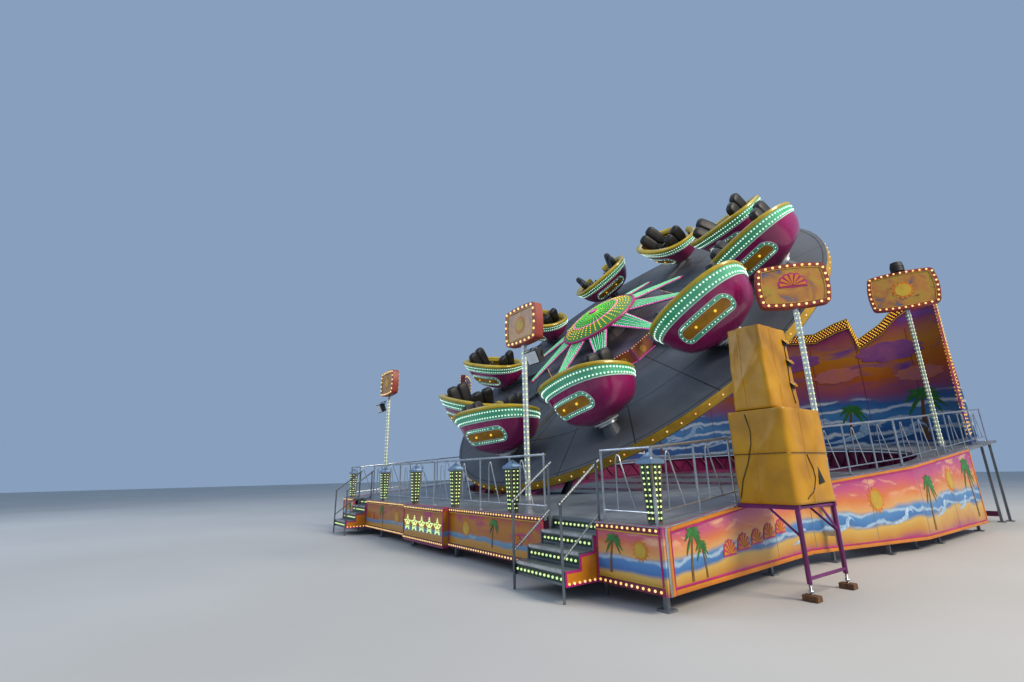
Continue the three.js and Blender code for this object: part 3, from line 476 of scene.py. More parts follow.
def smooth_through(x, xs, ys):
    """Cubic Hermite curve through the table, with slopes from each pair of neighbours."""
    slope = np.gradient(ys, xs)
    k = np.clip(np.searchsorted(xs, x) - 1, 0, len(xs) - 2)
    step = xs[k + 1] - xs[k]
    t = (x - xs[k]) / step
    return ((1 + 2 * t) * (1 - t) ** 2 * ys[k] + t * (1 - t) ** 2 * step * slope[k]
            + t * t * (3 - 2 * t) * ys[k + 1] + t * t * (t - 1) * step * slope[k + 1])


def hull(level, angle, wall=0.0):
    """x = L sign(c) |c|^0.8, y = W sign(s) |s|^0.8, z = level + tan 23 * shear * y, less the wall."""
    length, width, shear = [smooth_through(level, RINGS[:, 0], RINGS[:, k]) for k in (1, 2, 3)]
    c, s = np.cos(angle), np.sin(angle)
    x = (length - wall) * np.sign(c) * np.abs(c) ** 0.8
    y = (width - wall) * np.sign(s) * np.abs(s) ** 0.8
    return np.stack(np.broadcast_arrays(x, y, level + HULL_FOOT + math.tan(LEAN) * shear * y), -1)


def hull_normal(level, angle):
    """Cross product of the two small steps along the shell, round and upwards."""
    around = hull(level, angle + 1e-3) - hull(level, angle - 1e-3)
    level = np.clip(level, 0.002, 1.008)
    return unit(np.cross(around, hull(level + 1e-3, angle) - hull(level - 1e-3, angle)))


def x_angle(x, level):
    """The angle at which the shell reaches x on its high side: |cos|^0.8 = |x| / L."""
    length = smooth_through(level, RINGS[:, 0], RINGS[:, 1])
    return np.arccos(np.clip(np.sign(x) * (np.abs(x) / length) ** 1.25, -1, 1))


def ring_angles(level, share):
    """Share 0 is one side of the entrance and share 1 the other, round the closed side of the shell."""
    edge = x_angle(HALF_GAP, level)
    return -edge + share * (np.pi + 2 * edge)


print("shell length", hull(np.array([1.0]), np.array([0.0]))[0, 0] * 2)

# %% [markdown]
# The shell is made of rings of points at chosen levels. Below the entrance the rings are closed, and
# above it they stop at its two sides. The rim and the mint band follow the same rings, so they fit the
# moulding exactly, as on a shell that was laid up in one mould with its trim.

# %% Gondola shell parts
LEVELS = np.array([0, .03, .08, .14, .2, .28, .38, .494, .62, .74, .86, .95, 1.0])
GAP_ROW = 7


def shell_parts():
    """Outside and inside grids share one set of rows; strips join them along the entrance and the top."""
    level = LEVELS[:, None]
    main = ring_angles(level, np.linspace(0, 1, 57)[None])
    gap = ring_angles(level, 1) + np.linspace(0, 1, 7)[None] * (np.pi - 2 * x_angle(HALF_GAP, level))
    parts = []
    for wall, floor_row, finish in ((0, 0, 0), (WALL, 4, 1)):
        closed = hull(level, np.concatenate([main, gap[:, 1:-1]], 1), wall)[floor_row:GAP_ROW + 1]
        parts.append((*patch(closed, False, True, (0,)), finish))
        parts.append((*patch(hull(level[GAP_ROW:], main[GAP_ROW:], wall)), finish))
    upper = LEVELS[GAP_ROW:]
    lines = [(upper, ring_angles(upper, share)) for share in (0, 1)]
    lines += [(level[GAP_ROW], gap[GAP_ROW]), (level[-1], main[-1])]
    return parts + [(*patch(np.stack([hull(*line, wall) for wall in (0, WALL)])), 1) for line in lines]


def rim_parts():
    """A rounded, inward-sloping section swept along the top of the shell, and a thin trim under the band."""
    parts = []
    for level, finish, profile in (
            (1.0, 2, [(.03, -.05), (.045, -.02), (.04, .02), (.02, .045), (-.04, .05), (-.11, .03),
                      (-.165, -.01), (-.18, -.04), (-.165, -.06), (-.1, -.05)]),
            (0.735, 4, [(-.01, -.012), (.016, -.012), (.02, 0), (.016, .012), (-.01, .012)]),
            (0.962, 4, [(-.01, -.01), (.018, -.01), (.018, .008), (-.01, .008)])):
        angle = ring_angles(level, np.linspace(0, 1, 61))
        out = unit(hull_normal(level, angle) * [1, 1, 0])
        parts.append((*sweep(hull(level, angle), out, UP, profile), finish))
    return parts


def band_parts():
    """The mint band lies on the shell between two levels, 12 mm thick, and carries two rows of bulbs."""
    thick, gap = 0.012, 0.083
    level = np.array([.745, .745, .8, .87, .92, .955, .955])
    lift = np.array([0, 1, 1, 1, 1, 1, 0])[:, None] * thick
    angle = ring_angles(level, np.linspace(0, 1, 61)[:, None])
    skin = hull(level, angle) + lift * hull_normal(level, angle)
    parts = [(*patch(skin, False, True, (0, -1)), 3)]
    for level, offset in ((0.79, 0.3), (0.9, 0.8)):
        angle = ring_angles(level, np.linspace(0, 1, 400))
        walk = walked(hull(level, angle))
        at = np.interp((np.arange(int(walk[-1] / gap)) + offset) * gap, walk, angle)
        out = hull_normal(level, at)
        parts.append((*bulbs(hull(level, at) + thick * out, 0.021, out), 5))
    return parts


print("shell faces", sum(len(block) for part in shell_parts() for block in part[1]))

# %% [markdown]
# Each shell carries a long rounded panel on its high side: a mint border with a row of bulbs round it
# and a golden orange middle with two yellow lamps. It is drawn flat, as distances along and up the shell,
# and then laid on the curved surface, as a sign maker bends a thin sheet on to the moulding.

# %% Racetrack panel on the shell
TRACK_HALF, TRACK_END, TRACK_EDGE = 0.68, 0.17, 0.068


def stadium(half, radius, count=12):
    """A rectangle with two half-round ends, anticlockwise, centred on the origin."""
    turn = np.linspace(-np.pi / 2, np.pi / 2, count)
    end = np.c_[half - radius + radius * np.cos(turn), radius * np.sin(turn)]
    side = np.linspace(0.8, -0.8, 5)[:, None] * [half - radius, 0]
    return np.concatenate([end, side + [0, radius], -end, -side - [0, radius]])


def laid(a, b, lift):
    """The shell at x = a on the high side and at level 0.45 + 0.93 b, and from there outwards by lift."""
    level = 0.45 + 0.93 * b
    angle = x_angle(a, level)
    return hull(level, angle) + np.asarray(lift)[..., None] * hull_normal(level, angle)


def track_parts():
    """Border, filled middle and bulbs of the long rounded panel."""
    parts = []
    for grow, width, high, finish in ((0, TRACK_EDGE, 0.016, 3), (0.009, 0.013, 0.021, 4),
                                      (-0.064, 0.01, 0.021, 4)):
        ring, faces = border(stadium(TRACK_HALF + grow, TRACK_END + grow), width, -0.01, high)
        parts.append((laid(*ring.T), faces, finish))
    u, v = np.meshgrid(np.sin(np.linspace(-np.pi / 2, np.pi / 2, 25)), np.linspace(-1, 1, 7), indexing="ij")
    inner = TRACK_END - TRACK_EDGE
    a = (TRACK_HALF - TRACK_EDGE) * u
    beyond = np.clip(np.abs(a) - (TRACK_HALF - TRACK_END), 0, inner)
    parts.append((*patch(laid(a, v * np.sqrt(inner ** 2 - beyond ** 2), 0.008)), 6))
    outline = stadium(TRACK_HALF - TRACK_EDGE / 2, TRACK_END - TRACK_EDGE / 2, 40)
    walk = np.linalg.norm(np.roll(outline, -1, 0) - outline, axis=1).cumsum()
    ring = [np.interp(np.arange(36) * walk[-1] / 36, walk, values) for values in outline.T]
    for spots, radius, finish in ((ring, 0.015, 5), (np.array([[-0.26, 0.26], [0, 0]]), 0.032, 7)):
        low = laid(*spots, 0.014)
        parts.append((*bulbs(low, radius, laid(*spots, 0.114) - low), finish))
    return parts


SHELL = shell_parts() + rim_parts() + band_parts() + track_parts()
SHELL_FINISH = [HULL_GEL, HULL_INSIDE, RIM_YELLOW, BAND_MINT, BAND_EDGE, BULB_WHITE,
                TRACK_ORANGE, BULB_YELLOW]
for name, matrix in GONDOLAS.items():
    carried = [moved(matrix, part) for part in SHELL]
    shell = build(f"{name}_shell", carried, SHELL_FINISH, name)
    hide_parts(f"{name}_hull")

# %% [markdown]
# ## Seats and restraints
# Two double seats face each other in every gondola, one at each end. The real ones are moulded foam
# skinned in black vinyl, with a high back in two rounded lobes that stand above the rim. Each lobe and
# each cushion is a soft box with a crown, and a thin bent tube closes over the riders' laps.

# %% Seat pads
SEAT_FLOOR = HULL_FOOT + 0.17


def lobe(half, waist):
    """A rounded pad whose sides narrow in the middle of its height: y times 1 - waist (1 - (z/h)^2)."""
    points, faces = pad(half, 7, 3.8)
    points[:, 1] *= 1 - waist * (1 - (points[:, 2] / half[2]) ** 2)
    return points, faces


def seat_parts():
    """Backs and cushions of both double seats; the second seat is the first one mirrored in x."""
    rows = []
    for y in (-0.2, 0.2):
        rows += [(-12.6, -0.72, y, 0.91, (.125, .215, .385), .05),
                 (-12.6, -0.645, y, 0.66, (.085, .15, .24), .05),
                 (-4, -0.37, y * 0.78, 0.36, (.23, .15, .085), 0)]
    rows.append((-12.6, -0.62, 0, 0.42, (.07, .28, .2), 0))
    parts = [moved(spun("y", math.radians(lean), [x, y, SEAT_FLOOR + z]), lobe(half, waist))
             for lean, x, y, z, half, waist in rows]
    return parts + mirrored(parts)


def fitting_parts():
    """Moulded bench under each cushion, a floor plate and the bent tubes of the lap bars."""
    bench = plate(rectangle(.22, .28, (.02, 0)), 0.005, 0.275, 0.012)
    turn = np.linspace(0, np.pi, 9)
    bow = np.c_[-0.42 + 0.2 * np.sin(turn), -0.33 * np.cos(turn), 0.6 + 0.02 * np.sin(turn)]
    legs = np.array([[-0.62, 0.33, 0.46], [-0.54, 0.33, 0.56]])
    bar = tube(np.concatenate([legs * [1, -1, 1], bow, legs[::-1]]), 0.018, 8)
    grip = pad([.035, .1, .035], 4, 3)
    parts = [(*shifted([-0.4, 0, 0], bench), 1), (*bar, 2)]
    parts += [shifted([-0.235, y, 0.625], grip) for y in (-0.15, 0.15)]
    parts += mirrored(parts)
    parts.append((*plate(rectangle(.14, .25), 0.002, 0.05, 0.006), 2))
    return [shifted([0, 0, SEAT_FLOOR], part) for part in parts]


SEATS, FITTINGS = seat_parts(), fitting_parts()
for name, matrix in GONDOLAS.items():
    carried = [moved(matrix, part) for part in SEATS]
    pads = build(f"{name}_seat_pads", carried, [SEAT_VINYL], name, 60)
    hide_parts(f"{name}_seats")
    build(f"{name}_fittings", [moved(matrix, part) for part in FITTINGS], [SEAT_VINYL, BAR_BLACK, RAIL_STEEL],
          name, 45)

# %% [markdown]
# ## The turning disc
# The disc is decked with steel plates, twenty to the circle in rows 1.6 m deep, painted a matt dark grey
# that has weathered in the rain. Its coordinates are turned into the plane of the disc first, so that the
# seams run round and outwards from the middle. The rim has a yellow band with a bulb every third of a metre.

# %% Disc plates
def disc_plates():
    """Seams where the angle passes a multiple of 18 degrees or the radius passes 1.6, 3.2 and 4.8 m."""
    material, tree, place = new_material("disc_matt_steel_plates")
    plane = add(tree, "Mapping", {"Vector": place, "Location": DISC_CENTRE, "Rotation": (TILT, 0, 0)},
                vector_type="TEXTURE")
    axes = add(tree, "SeparateXYZ", {"Vector": plane})
    angle = add(tree, "Math", [axes.outputs[1], axes.outputs[0]], operation="ARCTAN2")
    radius = add(tree, "VectorMath", [plane], operation="LENGTH").outputs["Value"]
    share = add(tree, "Math", [angle, math.pi / 20], operation="PINGPONG")
    across = add(tree, "Math", [share, radius], operation="MULTIPLY")
    depth = add(tree, "Math", [radius, 0.8], operation="PINGPONG")
    nearest = add(tree, "Math", [across, depth], operation="MINIMUM")
    seam = add(tree, "MapRange", [nearest, 0.008, 0.022])
    stain = add(tree, "TexNoise", {"Vector": plane, "Scale": 0.7, "Detail": 8.0, "Roughness": 0.7,
                                   "Distortion": 0.6})
    grit = add(tree, "TexNoise", {"Vector": plane, "Scale": 60.0, "Detail": 3.0})
    steel = add(tree, "ValToRGB", [stain], [(0.3, "#474b51"), (0.55, "#565b62"), (0.75, "#666c73")])
    tint = add(tree, "MixRGB", [seam, linear("#1b1c1f"), steel])
    gloss = add(tree, "MapRange", [stain, 0.3, 0.7, 0.5, 0.68])
    groove = add(tree, "Bump", {"Height": seam, "Strength": 0.6, "Distance": 0.004})
    relief = add(tree, "Bump", {"Height": grit, "Strength": 0.12, "Distance": 0.002, "Normal": groove})
    shader = add(tree, "BsdfPrincipled", {"Base Color": tint, "Roughness": gloss, "Normal": relief,
                                          "Metallic": 0.2})
    add(tree, "OutputMaterial", {"Surface": shader})
    return material


dress(disc_plates(), "turntable")
RIM_RADIUS = 6.495
spoke = circle(160)
band = sweep(RIM_RADIUS * spoke, spoke, UP,
             [(0, -.225), (.012, -.215), (.012, -.03), (.006, -.012), (0, -.012)], True)
spoke = circle(120)
rim_bulbs = bulbs((RIM_RADIUS + 0.011) * spoke - [0, 0, .12], 0.019, spoke)
build("disc_rim_band", [moved(DISC, band), (*moved(DISC, rim_bulbs), 1)], [DISC_RIM, BULB_ORANGE],
      "turntable")

# %% [markdown]
# A slewing ring carries each gondola. On the real ride it is a ground flange with a circle of bolts,
# under a white cover plate. Here it is a turned profile round the leaning post, with a collar below it
# and twelve hexagon heads on top.

# %% Gondola bearings on the disc
def turned(profile, count=24):
    """A closed profile of (radius, height) turned about the z axis."""
    spoke = circle(count)
    return sweep(spoke * 0, spoke, UP, profile, True)


def bolts(radius, height, count, size=0.016, rise=0.012, sides=6):
    """Hexagon heads round a circle: each is a low prism with a slightly narrower top."""
    rings = [circle(sides, size * k, height + rise * h) for k, h in ((1, 0), (1, 0.8), (0.86, 1))]
    head, faces = patch(np.stack(rings), False, True, (0, -1))
    return repeated(circle(count, radius)[:, None] + head, faces)


BEARING = [turned([(.158, .262), (.3, .262), (.31, .27), (.31, .3), (.3, .308), (.158, .308)]),
           (*turned([(.165, .2), (.24, .2), (.235, .258), (.162, .258)]), 1), (*bolts(0.27, 0.308, 12), 1)]
build("gondola_bearings", [moved(matrix, part) for matrix in GONDOLAS.values() for part in BEARING],
      [WHITE_CASE, RAIL_STEEL], "turntable")

# %% [markdown]
# ## Hub and sunburst
# The middle of the disc is the light show. A domed boss has rows of coloured bulbs that run outwards,
# ten fans of green light tubes point at the gondolas, and ten painted boards close the hub's side. The
# rows are laid out by angle and radius and then carried into the plane of the disc.

# %% Sunburst bulbs and tubes
DOME = np.array([(0, 1.27), (.52, 1.23), (1.0, 1.12), (1.32, .98)])
FAN_LENGTH, FAN_DROP = 1.9, 0.43
BURST_SHELL = painted("sunburst_green_moulding", "#4f9a34", "#2f7a3a", 0.35, patch_m=0.3)
FAN_SHELL = painted("fan_grey_green_moulding", "#5c8474", "#41665a", 0.35, patch_m=0.3)
dress(FAN_SHELL, "sunburst")


def dome_point(radius, angle, lift=0.0):
    """A point at a radius and an angle on the dome, raised by lift."""
    height = np.interp(radius, DOME[:, 0], DOME[:, 1]) + lift
    return np.stack(np.broadcast_arrays(radius * np.cos(angle), radius * np.sin(angle), height), -1)


def boss_parts():
    """Moulded skin, forty rows of bulbs in two colours, three rings and a central button."""
    angles = np.radians(85 + np.arange(40) * 9)
    radii = np.array([0, .26, .52, .76, 1.0, 1.16, 1.325])[:, None]
    skin = np.concatenate([dome_point(radii, angles, 0.012), dome_point(radii[::-1], angles, -0.02)])
    parts = [patch(skin, True, True)]
    for first, last, finish in ((0.18, 0.78, 1), (0.86, 1.28, 2)):
        spots = dome_point(np.arange(first, last, 0.085)[:, None], angles, 0.012).reshape(-1, 3)
        parts.append((*bulbs(spots, 0.022), finish))
    for radius, height, thick, finish in ((1.335, 0.975, 0.045, 3), (0.12, 1.275, 0.05, 3),
                                          (0.82, 1.175, 0.022, 4)):
        parts.append((*tube(circle(48, radius, height), thick, 8, True), finish))
    return parts + [(*shifted([0, 0, 1.285], pad([.12, .12, .05], 6, 2.2)), 4)]


def fan_parts():
    """One fan: x outwards from the hub, y across, z up from its top face, with 7 tubes inside a border."""
    def ray(first, last, ends, height, count):
        line = np.linspace(first, last, count)
        return np.c_[line, np.interp(line, [0, FAN_LENGTH], ends), np.full(count, height)]

    parts = []
    for k, (start, end) in enumerate(zip(np.linspace(-0.25, 0.25, 7), np.linspace(-0.042, 0.042, 7))):
        parts.append((*tube(ray(0.12, 1.86, [start, end], 0.016, 5), 0.013, 6), 7 if k % 2 else 5))
    for side in (-1, 1):
        parts.append((*tube(ray(0.05, FAN_LENGTH, [side * 0.325, side * 0.06], -0.005, 5), 0.019, 6), 4))
        parts.append((*bulbs(ray(0.15, 1.8, [side * 0.29, side * 0.05], 0.004, 20), 0.013), 6))
    return parts + [(*shifted([FAN_LENGTH, 0, -0.02], pad([.05, .085, .04], 4, 4)), 3)]


FAN = [moved(spun("y", math.atan2(FAN_DROP, FAN_LENGTH), [1.18, 0, 0.95]), part) for part in fan_parts()]
burst = boss_parts() + [moved(spun("z", angle), part) for angle in SPOKES for part in FAN]
build("sunburst_lights", [moved(DISC, part) for part in burst],
      [BURST_SHELL, BULB_GREEN, BULB_YELLOW, BORDER_PINK, TUBE_PINK, TUBE_GREEN, BULB_WHITE, TUBE_PALE],
      "turntable")

# %% [markdown]
# ## Painted boards
# The platform is closed by airbrushed boards: a beach at sunset, with sand below, a blue lagoon, an
# orange sky and pink clouds. A real artist sprays broad soft bands and then picks out the details. The
# recipe works the same way: height on the board picks the band, noise bends its edge, and stretched
# noise lays foam on the water and clouds on the sky. The boards rise with the deck, so height is taken
# as a share of the board at that place.

# %% Beach mural
FRONT_Y = -7.8
BOARD_FOOT = 0.2
DECK_CLIMB = 0.0875


def mural(name, bands, clouds, low=BOARD_FOOT, span=0.785, climb=DECK_CLIMB, size=1.0, foam="#d7e4e6",
          sea=(0.2, 0.4), rear=99.0):
    """Share of height = (z - low) / (span + climb (y + 7.8)), bent by noise, picks the band of colour."""
    material, tree, place = new_material(name)
    axes = add(tree, "SeparateXYZ", {"Vector": place})
    rise = add(tree, "Math", [axes.outputs[1], climb, span - climb * FRONT_Y], operation="MULTIPLY_ADD")
    above = add(tree, "Math", [axes.outputs[2], low], operation="SUBTRACT")
    share = add(tree, "Math", [above, rise], operation="DIVIDE")
    bend = add(tree, "TexNoise", {"Vector": place, "Scale": 1.1 / size, "Detail": 3.0})
    bent = add(tree, "Math", [bend, 0.34, share], operation="MULTIPLY_ADD")
    level = add(tree, "Math", [bent, 0.17], operation="SUBTRACT")
    paint = add(tree, "ValToRGB", [level], bands)
    flat = add(tree, "Mapping", {"Vector": place, "Scale": (1 / size, 1 / size, 3.4 / size)})
    puffs = add(tree, "TexNoise", {"Vector": flat, "Scale": 1.5, "Detail": 6.0, "Roughness": 0.6,
                                   "Distortion": 0.8})
    cover = add(tree, "MapRange", [puffs, 0.52, 0.64])
    high = add(tree, "MapRange", [level, sea[1] + 0.04, sea[1] + 0.2])
    cloud = add(tree, "Math", [cover, high], operation="MULTIPLY")
    sky = add(tree, "MixRGB", [cloud, paint, linear(clouds)])
    swell = add(tree, "TexWave", {"Vector": place, "Scale": 2.2 / size, "Distortion": 5.0, "Detail": 3.0,
                                  "Detail Scale": 1.2}, bands_direction="Z")
    crest = add(tree, "MapRange", [swell.outputs["Fac"], 0.72, 1.0])
    wet = add(tree, "ValToRGB", [level], [(sea[0] - 0.03, "#000000"), (sea[0], "#ffffff"),
                                          (sea[1] - 0.03, "#ffffff"), (sea[1], "#000000")])
    spray = add(tree, "Math", [crest, wet], operation="MULTIPLY")
    front = add(tree, "MixRGB", [spray, sky, linear(foam)])
    behind = add(tree, "MapRange", [axes.outputs[1], rear - 0.004, rear])
    painting = add(tree, "MixRGB", [behind, front, linear("#85878a")])
    grime = add(tree, "TexNoise", {"Vector": place, "Scale": 2.4, "Detail": 8.0})
    gloss = add(tree, "MapRange", [grime, 0.3, 0.7, 0.28, 0.5])
    shader = add(tree, "BsdfPrincipled", {"Base Color": painting, "Roughness": gloss, "Coat Weight": 0.25,
                                          "Coat Roughness": 0.2})
    add(tree, "OutputMaterial", {"Surface": shader})
    return material


FRONT_MURAL = mural("front_boards_airbrushed_sunset",
                    [(0, "#8a1e5c"), (0.1, "#b8791e"), (0.24, "#c08a2c"), (0.29, "#5b86a2"),
                     (0.35, "#5f8fae"), (0.41, "#b0680f"), (0.7, "#b8740a"), (0.9, "#a84c20"),
                     (1, "#9a2c50")], "#b02a5e",
                    sea=(0.29, 0.37), foam="#86a8b8")
SIDE_MURAL = mural("side_boards_airbrushed_beach",
                   [(0, "#a83a70"), (0.1, "#c98a2c"), (0.24, "#d8b050"), (0.3, "#3b74b4"), (0.44, "#4f8cc4"),
                    (0.52, "#e0a860"), (0.66, "#dd7a3a"), (0.84, "#c8517c"), (1, "#a03a80")], "#ecb088",
                   sea=(0.29, 0.5), size=1.6, foam="#a8c6dc")
BACK_MURAL = mural("backdrop_airbrushed_sea",
                   [(0, "#24508c"), (0.1, "#2f6cae"), (0.2, "#4f93cc"), (0.3, "#3a6fae"), (0.38, "#a0527a"),
                    (0.5, "#c4621e"), (0.68, "#cf8420"), (0.84, "#9c3a6a"), (1, "#6a2470")], "#7a4a9a",
                   low=2.3, span=5.0, climb=0, size=3.0, foam="#dfeaf2", sea=(0.02, 0.34), rear=7.745)
WING_MURAL = mural("wing_airbrushed_dusk",
                   [(0, "#2a4a90"), (0.16, "#7a2a7a"), (0.4, "#a02a6a"), (0.6, "#c4561e"), (0.8, "#b03a5a"),
                    (1, "#5a1a5a")], "#d0802a", low=2.3, span=4.6, climb=0, size=2.4, sea=(0.01, 0.1))
dress(FRONT_MURAL, "fascia_front")
dress(SIDE_MURAL, "fascia_right", "fascia_left")
dress(BACK_MURAL, "backdrop")
dress(WING_MURAL, "backdrop_wing_right", "backdrop_wing_left")
print("murals on", FRONT_MURAL.name, SIDE_MURAL.name, BACK_MURAL.name, WING_MURAL.name)

# %% [markdown]
# Every board has a raised frame. On the real ride these are thin extrusions screwed round the sheet,
# and the bulbs stand on a maroon strip at the top and at the bottom. One function gives any line on a
# board as points in the frame: distance along the run, height, and the way out of the board.

# %% Lines along the boards
DECK_FRONT = 0.97
BOARD_OVER_DECK = 0.015


def deck_top(y):
    """Height of the sloping deck: 0.97 + 0.0875 (y + 7.8)."""
    return DECK_FRONT + DECK_CLIMB * (y - FRONT_Y)


def run_of(plan, out=0.04):
    """Plan corners moved outwards by the board's thickness, with the mitred outward vector at each one."""
    plan = np.asarray(plan, float)
    ahead = unit(np.diff(plan, axis=0))
    normal = np.c_[ahead[:, 1], -ahead[:, 0]]
    before, after = np.r_[normal[:1], normal], np.r_[normal, normal[-1:]]
    mitre = (before + after) / (1 + (before * after).sum(1, keepdims=True))
    return plan + out * mitre, mitre


def on_run(run, along, share, lift=0.0, fixed=None):
    """Points at distances along a run; share 0 is the board's foot and 1 its top, or fixed gives z."""
    corners, _ = run
    walk = walked(corners)
    along, lift = np.broadcast_arrays(np.asarray(along, float), lift)
    leg = np.clip(np.searchsorted(walk, along, side="right") - 1, 0, len(walk) - 2)
    ahead = unit(np.diff(corners, axis=0))[leg]
    plan = corners[leg] + ahead * (along - walk[leg])[..., None]
    top = deck_top(plan[..., 1]) + BOARD_OVER_DECK
    height = BOARD_FOOT + share * (top - BOARD_FOOT) if fixed is None else np.broadcast_to(fixed, top.shape)
    out = np.stack([ahead[..., 1], -ahead[..., 0], np.zeros(len(along))], -1)
    return np.c_[plan, height] + lift[..., None] * out, out


def rounded(width, thick):
    """The section of a strip with two chamfered edges: across it, and out of the board."""
    half = width / 2
    return np.array([(-half, -.001), (-half, thick * .7), (-half * .6, thick), (half * .6, thick),
                     (half, thick * .7), (half, -.001)])


def moulding(run, foot, offset, height, thick):
    """A rounded strip along a run: foot True follows the board's foot, and False its top edge."""
    corners, mitre = run
    base = BOARD_FOOT + offset if foot else deck_top(corners[:, 1]) + BOARD_OVER_DECK - offset
    path = np.c_[corners, np.broadcast_to(base, len(corners))]
    return sweep(path, UP, np.c_[mitre, np.zeros(len(mitre))], rounded(height, thick))


def upright_strip(run, along, width, thick, margin=0.0):
    """A rounded strip that stands on a run, from the board's foot to its top."""
    ends, out = on_run(run, [along, along], np.array([0.0, 1.0]))
    return sweep(ends + np.outer([margin, -margin], UP), np.cross(out, UP), out, rounded(width, thick))


SIDE_RUN = run_of([(6.6, FRONT_Y), (6.3, -3.5), (7.0, -.1), (7.0, 4.4)])
# At the front corner a side strip grows straight outwards in x, so that it ends flush with the front.
SIDE_RUN[1][0] = (1, 0)
CORNER_RUN = run_of([(5.49, FRONT_Y), (6.6, FRONT_Y)])
LEFT_RUN, RIGHT_RUN, LEFT_CORNER_RUN = [run_of([(start, FRONT_Y), (end, FRONT_Y)])
                                        for start, end in ((-4.25, -1.06), (1.06, 4.25), (-6.6, -5.49))]
SIGN_RUN = run_of([(-1.06, -7.94), (1.06, -7.94)])
SIDE_LENGTH = walked(SIDE_RUN[0])[-1]
print("side board runs for", round(float(SIDE_LENGTH), 2), "m")

# %% [markdown]
# The strips of a frame are listed by where they lie, how wide and thick they are, and their finish. The
# real makers cut all of them from a few extrusions, and so does this cell: one loop for the level
# strips, one for the upright ones, and one for the bulbs, which are spaced evenly at about 90 mm.

# %% Frames and bulbs of the boards
frames, lamps = [], []
for run in (LEFT_RUN, RIGHT_RUN, CORNER_RUN, LEFT_CORNER_RUN, SIGN_RUN):
    length = walked(run[0])[-1]
    for foot, offset, height, thick, finish in ((True, .045, .085, .01, 0), (False, .045, .075, .01, 0),
                                                (True, .1, .016, .014, 1), (False, .096, .016, .014, 1),
                                                (False, .008, .014, .018, 3)):
        frames.append((*moulding(run, foot, offset, height, thick), finish))
    for along in (0.012, length - 0.012):
        frames.append((*upright_strip(run, along, .022, .014), 2))
    count = int(length / 0.09)
    for share, rise in ((0.0, 0.045), (1.0, -0.045)):
        line, out = on_run(run, (np.arange(count) + 0.5) * length / count, share, 0.01)
        lamps.append(bulbs(line + [0, 0, rise], 0.019, out))
sides = []
for foot, offset, height, thick, finish in ((True, .03, .058, .016, 0), (False, .045, .05, .016, 0),
                                            (True, .075, .024, .01, 1), (False, .088, .024, .01, 1),
                                            (False, .008, .022, .022, 3)):
    sides.append((*moulding(SIDE_RUN, foot, offset, height, thick), finish))
for along, width, finish in ((0.022, .05, 3), (SIDE_LENGTH - 0.03, .055, 0),
                             (0.075, .05, 0), (0.113, .022, 1)):
    sides.append((*upright_strip(SIDE_RUN, along, width, .016), finish))
for along in (3.0, 4.43, 6.2, 7.95, 10.0):
    sides.append((*upright_strip(SIDE_RUN, along, .012, .003, 0.1), 4))
build("front_board_frames", frames, [BAND_MAROON, LINE_YELLOW, BORDER_PINK, RAIL_STEEL])
build("front_board_bulbs", lamps, [BULB_WARM])
build("side_board_frames", sides + mirrored(sides),
      [BORDER_ORANGE, BORDER_PINK, BAND_MAROON, RAIL_STEEL, BOARD_BACK])

# %% [markdown]
# The painted motifs are cut sheets, a few millimetres proud of the boards: palms, suns with rays, shells
# and curling waves. They fill the places where the real ride has its lettering, which is left out. A
# motif is drawn flat and laid on a board, and each leaf is a strip that tapers along a bent line.

# %% Motif shapes
def strip(line, widths, low=0.0, high=0.006):
    """A tapering plate along a bent line: the line moved by half the width to each side."""
    line = np.asarray(line, float)
    ahead = unit(np.gradient(line, axis=0))
    side = np.c_[-ahead[:, 1], ahead[:, 0]] * np.broadcast_to(widths, len(line))[:, None] / 2
    outline = np.concatenate([line - side, (line + side)[::-1]])
    n = len(outline)
    points, edge = patch(np.stack([np.c_[outline, np.full(n, z)] for z in (low, high)]), False, True)
    j = np.arange(len(line) - 1)
    face = np.stack([j, j + 1, n - 2 - j, n - 1 - j], -1)
    return points, edge + [face, face + n]


def palm(height, lean=0.16):
    """A bent trunk and eleven narrow leaves that arch out and down; finish 0 is trunk and 1 leaf."""
    t = np.linspace(0, 1, 7)
    trunk = np.c_[lean * height * t ** 2, height * t]
    parts = [(*strip(trunk, np.interp(t, [0, 1], [.07, .035]) * height * 1.4, 0, .005), 0)]
    s = np.linspace(0, 1, 8)
    width = 0.075 * height * np.sin(np.pi * (0.15 + 0.84 * s)) ** 0.7
    for k, heading in enumerate(np.radians([-40, -15, 8, 28, 50, 78, 102, 130, 152, 172, 215])):
        reach = height * (0.36 + 0.05 * math.sin(k * 2.1))
        leaf = np.c_[reach * s * math.cos(heading), reach * (s * math.sin(heading) - 0.55 * s ** 2)]
        parts.append((*strip(trunk[-1] + leaf, width, .002 + .0005 * k, .006 + .0005 * k), 1))
    return parts


def sun(radius, rays=14):
    """A round disc inside a star whose points alternate between two radii; finish 2 is rays and 3 disc."""
    reach = np.where(np.arange(2 * rays) % 2, 1.12, 1.55)[:, None] * radius
    star = circle(2 * rays)[:, :2] * reach
    return [(*plate(star, 0, .005, .001), 2), (*plate(circle(28, radius)[:, :2], .004, .01, .002), 3)]


